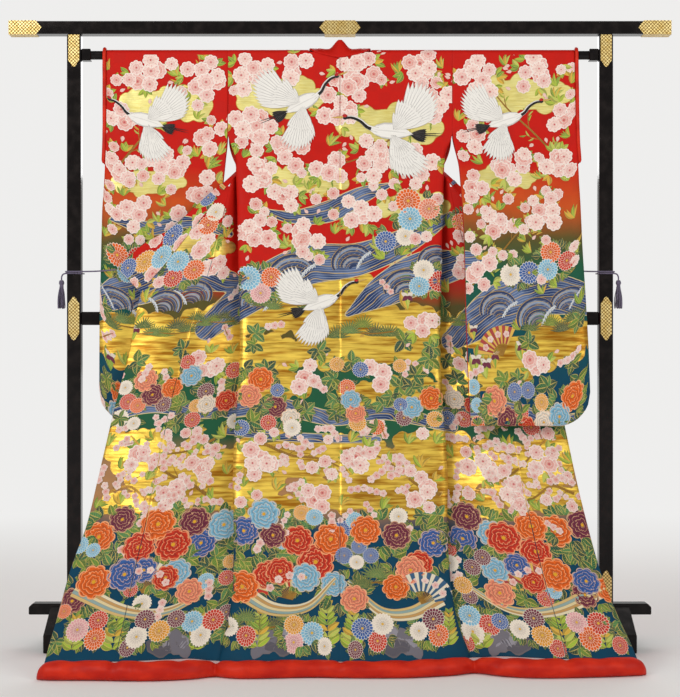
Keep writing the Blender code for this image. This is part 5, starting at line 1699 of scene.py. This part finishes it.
def fan(work, at, size, lean, paper):
    """An open folding fan: ribs out from the pivot, and pleated paper in two tones."""
    work.taken.append((at[0] + size * 0.6 * math.cos(lean + 1.57), at[1] - size * 0.6, size * 0.6))
    rib = ribbon([(0.0, 0), (0.42, 0)], [0.008, 0.014])
    pleat = ribbon([(0.40, 0), (0.7, 0), (1.0, 0)], [0.030, 0.050, 0.068])
    upright = lean + math.pi / 2
    for k, angle in enumerate(np.linspace(-0.95, 0.95, 15)):
        work.stamp(rib, at, size, upright + angle, BRONZE, GILT)
        tone = PAPERS[paper][k % 2]
        work.stamp(pleat, at, size, upright + angle, tone, FEATHER, raised=0.0002)
    for k, angle in enumerate(np.linspace(-0.7, 0.7, 4)):
        spot = towards(at, size * 0.72, upright + angle)
        work.stamp(PLUM_DISC, spot, size * 0.12, k, PINKS[k], BLOSSOM, raised=0.0004)


def pine(work, at, size, seed):
    """A pine spray: half-round tufts of needles along a short bough."""
    work.taken.append((*at, size * 1.2))
    rng = np.random.default_rng(seed)
    needle = blade(0.06)
    for k in range(5):
        tuft = (at[0] + size * (k - 2) * 0.62, at[1] - size * 0.28 * math.sin(k * 1.9 + seed))
        for angle in np.linspace(0.15, math.pi - 0.15, 13):
            length = size * rng.uniform(0.62, 0.75)
            work.stamp(needle, tuft, length, angle, DARK_LEAVES[k % 4], LEAF)
    bough = [(-1.5, -0.05), (-0.6, 0.02), (0.5, -0.03), (1.5, 0.08)]
    work.stamp(ribbon(spline(bough, 14), np.full(14, 0.035)), at, size, 0, BRONZE, GILT)


def streamers(work, places, width, paper):
    """Folded paper streamers side by side, spreading from where they are tied."""
    tones = PAPERS[paper]
    line = spline(np.array(places) * [1, -1], 48)
    half = width * np.linspace(0.25, 1.0, 48)
    for k, tone in enumerate(tones):
        across = (k - (len(tones) - 1) / 2) * 2 / len(tones)
        band = line + square_to(line) * (half * across)[:, None]
        shape = ribbon(band - band[0], half / len(tones))
        work.stamp(shape, band[0] * [1, -1], 1.0, 0, tone, FEATHER, raised=0.0005)
    work.taken += [(line[k, 0], -line[k, 1], width * 0.7) for k in range(6, 48, 5)]


def rock(work, at, size, flip):
    """A garden rock: overlapping grey wedges, lighter one behind the other."""
    work.taken.append((*at, size * 0.7))
    s = np.linspace(0, 1, 15)
    half = 0.44 * np.sin(math.pi * s).clip(0.02) ** 0.6 * (1 + 0.16 * np.sin(s * 17))
    outline = ribbon(np.stack([2 * s - 1, 0.10 * np.sin(s * 8)], 1), half)
    for x, y, share, turn, grey in (
        (0, 0.35, 0.9, 0.5, 150),
        (-0.4, 0.1, 0.8, 0.9, 116),
        (0.35, 0, 0.8, 0.2, 92),
    ):
        place, tone = inside(at, x, y, size, 0, flip), srgb(grey, grey - 4, grey + 4)
        work.stamp(outline, place, size * share, turn, tone, FEATHER, flip)


def wave(work, at, size, turn, flip):
    """A breaking wave: nested arcs in three blues, with claws of foam at its crest."""
    work.taken.append((*at, size * 0.8))
    claw = blade(0.16, 0.22)
    for k in range(7):
        reach = 1 - 0.125 * k
        bend = np.linspace(3.35 - 0.12 * k, 0.15 + 0.10 * k, 18)
        arc = np.stack([reach * np.cos(bend), reach * 0.82 * np.sin(bend) - 0.08 * k], 1)
        half = 0.075 * np.sin(np.linspace(0.25, math.pi - 0.1, 18)) ** 0.5
        work.stamp(ribbon(arc, half), at, size, turn, WAVE_BLUES[k % 3], FEATHER, flip)
        gilt = ribbon(arc * 1.055, half * 0.16)
        work.stamp(gilt, at, size, turn, GOLDEN, GILT, flip, raised=0.0001)
        spot = inside(at, *arc[-1], size, turn, flip)
        for way in (-2.1, -1.3, -0.5):
            work.stamp(claw, spot, size * 0.20, way + turn, FOAM, FEATHER, flip)


def spikes(work, place, height, seed):
    """A leafy spike: pairs of narrow leaves up a short stem, smaller towards the tip."""
    rng = np.random.default_rng(seed)
    work.taken.append((place[0], place[1] - height / 2, height / 2.4))
    lean = rng.uniform(-0.15, 0.15)
    for k in range(8):
        share = k / 8
        at = (place[0] + lean * height * share, place[1] - height * share)
        for way in (-1, 1):
            aim = math.pi / 2 + way * (1.05 - 0.5 * share)
            work.stamp(LEAF_BLADE, at, height * (0.36 - 0.20 * share), aim, SPRING[k % 4], LEAF)


def scatter(work, xs, zs, count, seed, kinds):
    """Single small flowers, sprigs and leaf sprays wherever the large motifs leave room."""
    rng = np.random.default_rng(seed)
    for _ in range(count):
        x, z, kind = rng.uniform(*sorted(xs)), rng.uniform(*zs), kinds[rng.integers(len(kinds))]
        size, turn = rng.uniform(0.85, 1.15), rng.uniform(0, 6.28)
        place = work.find(x, z)
        if place is None or not work.free(place, 0.014):
            continue
        work.taken.append((*place, 0.015))
        if kind == "blossom":
            spray(work, place, 0.026, rng, count=3)
            work.stamp(BLOSSOM_DISC, place, 0.0165 * size, turn, PINKS[rng.integers(4)], BLOSSOM)
        elif kind == "plum":
            work.stamp(SLIM_TWIG, place, 0.05, turn, BRONZE, GILT)
            for share in (0.2, 0.55, 0.9):
                at, tone = towards(place, 0.05 * share, turn), PINKS[rng.integers(4)]
                work.stamp(PLUM_DISC, at, 0.0105 * size, turn + share, tone, BLOSSOM)
        elif kind == "sprig":
            aim = math.pi / 2 + rng.uniform(-0.8, 0.8)
            spray(work, place, 0.036 * size, rng, SPRING, 5, 1.5, aim, SLIM_LEAF)
        elif kind == "iris":
            spray(work, place, 0.050 * size, rng, SPRING, 4, 0.9, math.pi / 2, SLIM_LEAF)
            top = (place[0], place[1] - 0.034 * size)
            for way, tone in ((0.5, "ivory"), (2.6, "ivory"), (3.9, "maroon"), (5.5, "maroon")):
                work.stamp(BROAD_LEAF, top, 0.017 * size, way, FLOWER_TONES[tone], FEATHER)
        elif kind == "leaves":
            spray(work, place, 0.034 * size, rng, DARK_LEAVES, 5, 5.0, turn, BROAD_LEAF)
        else:
            spray(work, place, 0.030, rng, DARK_LEAVES, 5, 6.0, turn)
            tone = FLOWER_TONES[BRIGHT[rng.integers(len(BRIGHT))]]
            work.stamp(DAISY_DISC, place, 0.0215 * size, turn, tone, CHRYSANTHEMUM)


# Where the motifs lie on each field. A line starts with the motif, the seed of its first
# one (each next one's is one more) and the words that all of them share. Each one then has
# its size, its turn or flip, and its places as sideways distance and height, in millimetres.

# The back: blossom above, cranes and water half way, peonies and garden rocks at the foot.
BACK_LAYOUT = """
twig 1 leaf : 3.6 -290 1300 -200 1420 -80 1500 30 1590 / 3.6 290 1470 170 1400 60 1330 -40 1300
twig 3 leaf : 3.2 -270 1020 -200 1120 -120 1220 -30 1270
wave : 62 0.3 1 -130 1010 / 55 0.1 1 -215 935 / 52 0.35 1 30 1045 / 56 0.2 1 175 975
wave : 44 0.3 1 255 1050
mass 1 : 44 -245 1560 / 34 -125 1575 / 52 45 1555 / 40 215 1570 / 42 -10 1455 / 40 262 1475
mass 7 : 50 -240 1405 / 42 -135 1350 / 48 100 1330 / 36 225 1320 / 36 -30 1300 / 38 -225 1285
mass 13 : 34 -150 1225 / 38 55 1175 / 40 -235 1130 / 36 -85 1110 / 30 225 870 / 34 -80 735
mass 19 : 30 100 745
bunch 21 daisy : 26 205 1185 orange sky salmon / 24 150 1105 blue ivory
bunch 23 daisy : 26 -215 985 rose orange sky / 24 235 995 vermilion ivory sky
bunch 25 peony : 34 -225 705 orange salmon / 30 -150 640 maroon ivory / 32 215 665 sky orange
bunch 28 peony : 26 35 655 salmon sky
twig 31 plum : 5.5 -275 400 -190 470 -100 500 -10 575 / 4.5 -200 560 -130 530 -50 520 20 490
twig 33 plum : 5.5 275 560 190 520 100 470 30 405 / 4.5 260 430 200 455 130 510 60 545
mass 35 : 36 -215 515 / 34 55 520 / 34 215 445 / 30 -60 430
pine 41 : 50 -150 925 / 55 60 850 / 60 130 215 / 55 -200 115
bunch 51 peony : 40 -205 350 blue maroon sky / 45 -65 300 vermilion orange vermilion
bunch 53 peony : 43 105 335 maroon orange / 42 220 285 blue vermilion / 38 10 195 sky salmon
bunch 56 peony : 40 -215 220 orange vermilion
bunch 57 daisy : 22 85 105 vermilion ivory blue / 22 -100 100 sky saffron rose
bunch 59 daisy : 22 225 110 maroon ivory orange / 22 -255 105 ivory vermilion
streamers pale : 23 -10 225 -80 160 -170 155 -255 200 / 23 20 220 100 150 180 145 255 180
rock : 60 1 -160 75 / 55 -1 150 70
spike 61 : 120 -30 75 / 100 30 70 / 90 270 70 / 105 -205 70
fan : 90 0.35 -120 175 red / 85 -0.4 205 165 blue
bird : 265 0.42 1 -110 1470 / 290 0.05 -1 150 1395 / 250 0.3 1 -60 925
scatter 71 blossom blossom sprig : 260 -290 1040 290 1590
scatter 72 sprig plum leaves iris : 70 -270 780 270 1040
scatter 73 flower leaves leaves flower plum : 110 -270 600 270 780
scatter 74 plum blossom plum sprig : 200 -270 385 270 600
bunch 65 peony : 36 -120 235 vermilion sky / 36 160 225 orange salmon / 40 275 200 maroon
scatter 75 flower leaves leaves flower plum : 900 -300 62 300 400
"""
# The visible part of a front and its gore: zones as on the back, differently placed.
FLANK_LAYOUT = """
wave : 50 0.15 1 395 950 / 46 0.3 1 470 925
mass 1 : 34 372 1105 / 30 335 1030
bunch 3 daisy : 24 425 1020 orange sky vermilion / 20 345 1160 ivory orange
mass 5 : 34 355 760
bunch 6 peony : 32 420 720 orange sky / 30 505 705 maroon salmon / 28 330 665 vermilion ivory
pine 9 : 48 470 850 / 40 340 880
twig 11 plum : 5 310 400 380 450 460 490 550 580 / 4 330 570 400 540 470 530
twig 13 plum : 4 610 430 550 450 500 420 440 405
mass 14 : 34 365 500 / 34 520 520 / 30 450 425
bunch 21 peony : 41 345 340 blue sky maroon / 45 470 320 vermilion orange vermilion
bunch 23 peony : 42 590 345 maroon orange / 40 400 215 sky salmon / 42 585 225 orange blue
bunch 26 daisy : 22 345 115 ivory vermilion sky / 23 480 110 saffron maroon ivory
bunch 28 daisy : 23 620 110 vermilion rose orange
streamers pale : 22 320 205 430 150 540 150 670 200
rock : 55 1 420 70
spike 41 : 115 560 65 / 90 660 65 / 100 360 65
fan : 85 0.4 500 190 {paper}
scatter 31 blossom blossom sprig : 60 290 980 500 1200
scatter 32 sprig plum leaves iris : 60 270 780 580 980
scatter 33 flower leaves leaves flower plum : 110 270 600 600 780
scatter 34 plum blossom plum sprig : 200 270 385 640 600
bunch 51 peony : 34 470 235 vermilion blue / 36 650 190 orange maroon
scatter 35 flower leaves leaves flower plum : 1000 280 62 740 400
"""
# A sleeve's layer: blossom above, water and gold half way, peonies at the foot.
SLEEVE_LAYOUT = """
twig 0 leaf : 3.4 620 1300 540 1400 450 1480 360 1590 / 3.2 340 1020 420 1100 500 1180 600 1220
wave : 52 0.2 1 420 975 / 56 0.35 1 520 955 / 44 0.2 1 600 985
mass 2 : 46 375 1550 / 40 530 1565 / 34 600 1455 / 34 350 1400 / 44 470 1330 / 36 590 1330
mass 8 : 34 370 1280 / 40 560 1210 / 38 430 1180 / 34 380 1060
bunch 12 daisy : 25 575 1090 orange sky vermilion / 23 480 1060 ivory blue
pine 14 : 50 560 930
mass 15 : 28 520 835
bunch 16 peony : 34 590 735 orange sky / 34 420 730 salmon maroon / 30 510 680 vermilion ivory
fan : 75 0.5 430 860 {paper}
bird : 250 0.25 {flip} {bird_x} 1440
scatter 31 blossom blossom sprig : 260 320 1000 640 1595
scatter 32 sprig plum leaves iris : 60 340 800 640 1000
scatter 33 flower leaves leaves flower plum : 130 350 630 630 800
"""
# The front above the arm, which is seen from the far side of the rack.
SHOULDER_LAYOUT = """
twig 0 leaf : 3.4 290 1330 240 1420 170 1500 120 1590
mass 1 : 40 150 1560 / 36 255 1545 / 36 205 1470 / 32 275 1400
scatter 5 blossom blossom sprig : 90 100 1360 300 1595
"""

# What works each motif, and which numbers it has besides its size.
MOTIFS = {
    "mass": (cherry, ["seed"]),
    "bunch": (bouquet, ["seed"]),
    "bird": (crane, ["turn", "flip"]),
    "pine": (pine, ["seed"]),
    "fan": (fan, ["lean"]),
    "spike": (spikes, ["seed"]),
    "rock": (rock, ["flip"]),
    "wave": (wave, ["turn", "flip"]),
    "twig": (branch, ["seed"]),
    "streamers": (streamers, []),
    "scatter": (scatter, ["seed"]),
}


def embroider(work, layout, side=RIGHT, seed=0):
    """Works every motif of a layout in its order; a layout written for the right side is
    mirrored for the left one. A scatter's size is its count, and its places two corners."""
    for line in layout.strip().splitlines():
        head, entries = line.split(" : ")
        kind, *shared = head.split()
        motif, names = MOTIFS[kind]
        for count, entry in enumerate(entries.split(" / ")):
            words = shared + entry.split()
            texts = [word for word in words if word.isalpha()]
            numbers = [float(word) for word in words if not word.isalpha()]
            values = [seed + int(numbers.pop(0)) + count] if names == ["seed"] else []
            size = numbers.pop(0)
            if not values:
                values = [numbers.pop(0) * (1 if name == "turn" else side) for name in names]
            places = np.reshape(numbers, (-1, 2)) / 1000 * [side, 1]
            if motif is scatter:
                scatter(work, *places.T, int(size), *values, texts)
                continue
            found = [work.find(x, z) for x, z in places]
            if all(found):
                at = found[0] if len(found) == 1 else found
                motif(work, at, size / 1000, *values, *texts)


back = Embroidery({name: STRIPS[name] for name in ("back_left", "back_right")})
embroider(back, BACK_LAYOUT)
back.finish()
# each side's seeds start from its own number, and so do those of its shoulder and sleeve
SHOULDER_SEED, NEAR_SEED, FAR_SEED = 60, 80, 131
for side, word, seed, paper in ((LEFT, "left", 200, "blue"), (RIGHT, "right", 301, "gold")):
    flank = Embroidery({name + word: STRIPS[name + word] for name in ("front_", "okumi_")})
    embroider(flank, FLANK_LAYOUT.format(paper=paper), side, seed)
    embroider(flank, SHOULDER_LAYOUT, side, seed + SHOULDER_SEED)
    flank.finish()
    whole = STRIPS["sleeve_" + word]
    rows = layer_rows(whole.grid)
    for name, layer, outward_at, first_seed in (
        ("sleeve_" + word, whole.grid[:rows][::-1], -1, seed + NEAR_SEED),
        ("sleeve_" + word + "_far", whole.grid[-rows:], 1, seed + FAR_SEED),
    ):
        strip = Strip(layer, 0, side, 0, whole.pitch, outward_at)
        sleeve = Embroidery({name: strip}, rear=outward_at > 0)
        paper, bird_x, flip = ("gold", 440, side) if first_seed % 2 else ("red", 520, -side)
        layout = SLEEVE_LAYOUT.format(paper=paper, bird_x=bird_x, flip=flip)
        embroider(sleeve, layout, side, first_seed)
        sleeve.finish()

# ------------------------------------------------------- collar, cuff rolls and padded hem
# The collar is one long band folded on itself. The red lining is rolled round the cuffs,
# and along the hem it is stuffed with wadding into a thick roll that lies on the floor.
COLLAR_WALL = 0.0045
COLLAR_START = -0.003  # the band is sewn over the edge of the fronts
COLLAR_RINGS, CUFF_SIDES, HEM_RINGS, HEM_SIDES = 460, 16, 640, 36
clear, lift = RIDGE + 0.0024, HANG_TOP + 0.0024
# Round the neck, over the pole: the seam (out, forward, height), the way that the band
# stands, its width, and how far its free edge droops backwards.
Crossing = namedtuple("Crossing", "seam way width droop")
CROSSINGS = [
    Crossing((0.0835, -0.0110, lift + 0.0095), (-0.32, -0.94, 0.20), 0.052, 0.0),
    Crossing((0.0815, 0.0, lift + RIDGE + 0.001), (-0.35, -0.90, 0.12), 0.052, 0.0),
    Crossing((0.072, clear * 0.85, lift + 0.0055), (-0.20, -0.88, 0.32), 0.049, 0.005),
    Crossing((0.055, clear + 0.0016, lift - 0.002), (-0.10, -0.60, 0.79), 0.044, 0.018),
    Crossing((0.030, clear + 0.0022, lift - 0.008), (-0.03, -0.34, 0.94), 0.046, 0.021),
    Crossing((0.010, clear + 0.0024, lift - 0.0125), (0.0, -0.25, 0.97), 0.053, 0.006),
]


def collar_half(side):
    """Rows of seam point, way, start, width and droop, from a front end up to the nape."""
    rows = []
    for z in np.linspace(COLLAR_END, 1.596, 30):
        x, forward = inner_line(side, z, "edge")
        way = unit(np.array([smooth(COLLAR_BAND, c, z) for c in ("out", "forward", "up")]))
        rows.append([x, forward, z, *way, COLLAR_START, smooth(COLLAR_BAND, "width", z), 0])
    for crossing in CROSSINGS:
        way = unit(np.array(crossing.way))
        rows.append([*crossing.seam, *way, GAP, crossing.width, crossing.droop])
    return np.array(rows) * [side, 1, 1, side, 1, 1, 1, 1, 1]


def collar_band(rows, sides=12):
    """Cross sections of the folded band: two faces and a half round at each long edge."""
    seam, way = world_points(*rows[:, :3].T), unit(rows[:, 3:6] * [1, -1, 1])
    normal = unit(np.cross(np.gradient(seam, axis=0), way))
    r = COLLAR_WALL / 2
    turn = np.radians(np.linspace(90, -90, 7))[None, 1:-1]
    start, end = rows[:, 6:7] + r, rows[:, 6:7] + rows[:, 7:8] - r
    line = start + (end - start) * np.linspace(0, 1, sides)
    flat = np.full(line.shape, r)
    out = np.hstack([line, end + r * np.cos(turn), line[:, ::-1], start - r * np.cos(turn)])
    off = np.hstack([flat, np.broadcast_to(r * np.sin(turn), (len(rows), 5))] * 2)
    off[:, sides + 5 :] *= -1
    fall = (out / rows[:, 7:8]).clip(0) ** 2 * rows[:, 8:9]
    band = seam[:, None] + out[..., None] * way[:, None] + off[..., None] * normal[:, None]
    return band + fall[..., None] * [0, 1, -0.9], normal


left, right = collar_half(LEFT), collar_half(RIGHT)
nape = (left[-1:] + right[-1:]) / 2 * [1, 1, 1, 1, 1, 1, 1, 1.07, 0.5]
COLLAR_ROWS = spline(np.vstack([left, nape, right[::-1]]), COLLAR_RINGS)
band, band_normal = collar_band(COLLAR_ROWS)
collar = closed_rings("collar_cloth", band, BODY_SILK, slot=slot_of("collar"), replaces=["collar"])
run = np.concatenate([[0], np.cumsum(steps(band[:, 0]))])
columns = band.shape[1]
with_uv(collar, np.tile(np.linspace(0, 0.12, columns), len(band)), np.repeat(run, columns))
woven(collar, band, gold_below=1.30)

for side, word in WORDS.items():
    drawn = (COLLAR_ROWS[:, 0] * side > 0) & (COLLAR_ROWS[:, 2] < 1.262)
    rows, normal = COLLAR_ROWS[drawn], band_normal[drawn]
    seam, way = world_points(*rows[:, :3].T), rows[:, 3:6] * [1, -1, 1]
    out = rows[:, 6:7] + rows[:, 7:8] * np.linspace(0, 1, 16)
    near = normal * np.where(normal[:, 1:2] < 0, 1, -1) * (COLLAR_WALL - WALL) / 2
    grid = seam[:, None] + out[..., None] * way[:, None] + near[:, None]
    grid = grid if grid[0, 0, 2] > grid[-1, 0, 2] else grid[::-1]
    field = Embroidery({"collar_" + word: Strip(grid, 0, side, 0, steps(grid[:, 0]).mean(), -1)})
    kinds = ("flower", "blossom", "blossom", "sprig", "flower")
    scatter(field, (side * 0.30, side * 0.60), (0.99, 1.30), 420, 91 + side, kinds)
    field.finish()

red = Finish("wadded_red_silk", Specular_IOR_Level=0.22)
red_place = red.coordinates()
gathers = red.streaks(red_place, (90, 9, 9), 3)
dents = red.streaks(red_place, (14, 26, 26), 2)
red_x, red_y, red_z = red.split(red_place)
threads = (red_x / 0.0005).sin() * 0.5 + ((red_y + red_z) / 0.0005).sin() * 0.5
# the roll's red is darker in its dents and lighter between them: painted shade, besides the dents'
# relief
RED_SILK = red.paint(
    Base_Color=red.mix(dents.step(0.3, 0.7), srgb(190, 26, 6), srgb(220, 46, 16)),
    Roughness=dents * 0.14 + 0.40,
    Normal=red.bump(gathers * 2.2 + dents * 5.0 + threads * 0.05, 0.0009, 0.8),
)

for side, word in WORDS.items():
    heights = np.linspace(CUFF_BOTTOM + 0.012, HANG_TOP, 90)
    near, far = (
        np.array([sleeve_point(SLEEVES[side], 1.0, z, 0, layer) for z in heights]) * [side, 1, 1]
        for layer in (1, -1)
    )
    angle = np.radians(np.linspace(90, -90, 14))[1:-1]
    over = world_points(near[-1][0], RIDGE * np.sin(angle), HANG_TOP + RIDGE * np.cos(angle))
    path = np.vstack([near, over, far[::-1]]) + [side * (CUFF_ROLL / 2 + GAP), 0, 0]
    # the roll is thicker than the cloth, so it rides further out round the pole
    away = path - world_points(path[:, 0], 0, HANG_TOP)
    reach = np.hypot(away[:, 1], np.clip(away[:, 2], 0, None))
    ride = ease(CUFF_BOTTOM, HANG_TOP - 0.03, path[:, 2]) * (CUFF_ROLL - WALL) / 2
    path[:, 1] += away[:, 1] / reach * ride
    path[:, 2] += np.clip(away[:, 2], 0, None) / reach * ride
    at = np.linspace(0, 1, len(path))
    rng = np.random.default_rng(7 if side == LEFT else 8)
    lumps = sum(np.sin(at * k * 40 + rng.uniform(0, 6)) for k in (1, 1.7, 2.9)) / 3
    ends = np.sqrt(np.clip(np.minimum(at, 1 - at) / 0.012, 0.05, 1))
    radius = CUFF_ROLL / 2 * (0.96 + 0.04 * lumps) * ends
    rings, name = tube_rings(path, radius, CUFF_SIDES), "cuff_roll_" + word
    roll = closed_rings(name + "_silk", rings, RED_SILK, slot="red_silk_roll", replaces=[name])

# Where the wadding is pinched: at the panels' seams and where the roll has been folded.
PUCKERS = read_table("x wide deep", """
-652 18 0.05
-551 12 0.09
-470 22 0.05
-392 14 0.06
-306 10 0.16
-252 16 0.05
-176 20 0.06
 -85 18 0.04
   1 10  0.1
  82 20 0.05
 171 16 0.06
 248 18 0.05
 334 11 0.17
 405 14 0.06
 482 22 0.05
 558 12 0.09
 640 18 0.05
""", "deep")
middle_line = spline(np.array(HEM_ROLL)[:, :2], HEM_RINGS)
hem_x = middle_line[:, 0]
across = square_to(middle_line)
angle = round_angles(HEM_SIDES)
pinch = sum(p.deep * np.exp(-(((hem_x - p.x) / p.wide) ** 2)) for p in PUCKERS)[:, None]
# the pinch goes in from above and the front, deepest at the top seam
pinch = pinch * np.clip(np.sin(angle) + 0.5, 0, 1.2)
rise = np.sin(angle)
up = np.where(rise >= 0, 0.42 + 0.58 * rise, 0.42 - 0.43 * np.abs(rise) ** 0.7)
height = smooth(HEM_ROLL, "height", hem_x)[:, None] * np.clip(up * (1 - pinch), 0.0, None)
reach = np.cos(angle) * (1 - pinch * 0.8) * smooth(HEM_ROLL, "depth", hem_x)[:, None] / 2
place = middle_line[:, None] + reach[..., None] * across[:, None]
rings = world_points(place[..., 0], place[..., 1], np.maximum(height, 0.0003))
hem = closed_rings(
    "padded_hem_silk", rings, RED_SILK, slot="red_silk_roll", replaces=["padded_hem"]
)

# The collar joins the other cloths; for each cloth the loop reads its kind and side from its
# name and picks a name that nothing uses.
CLOTHS["collar"] = collar
for name, cloth in CLOTHS.items():
    kind, _, word = name.partition("_")
    f"front_{word}_cloth" if kind == "okumi" else "kimono_pole"
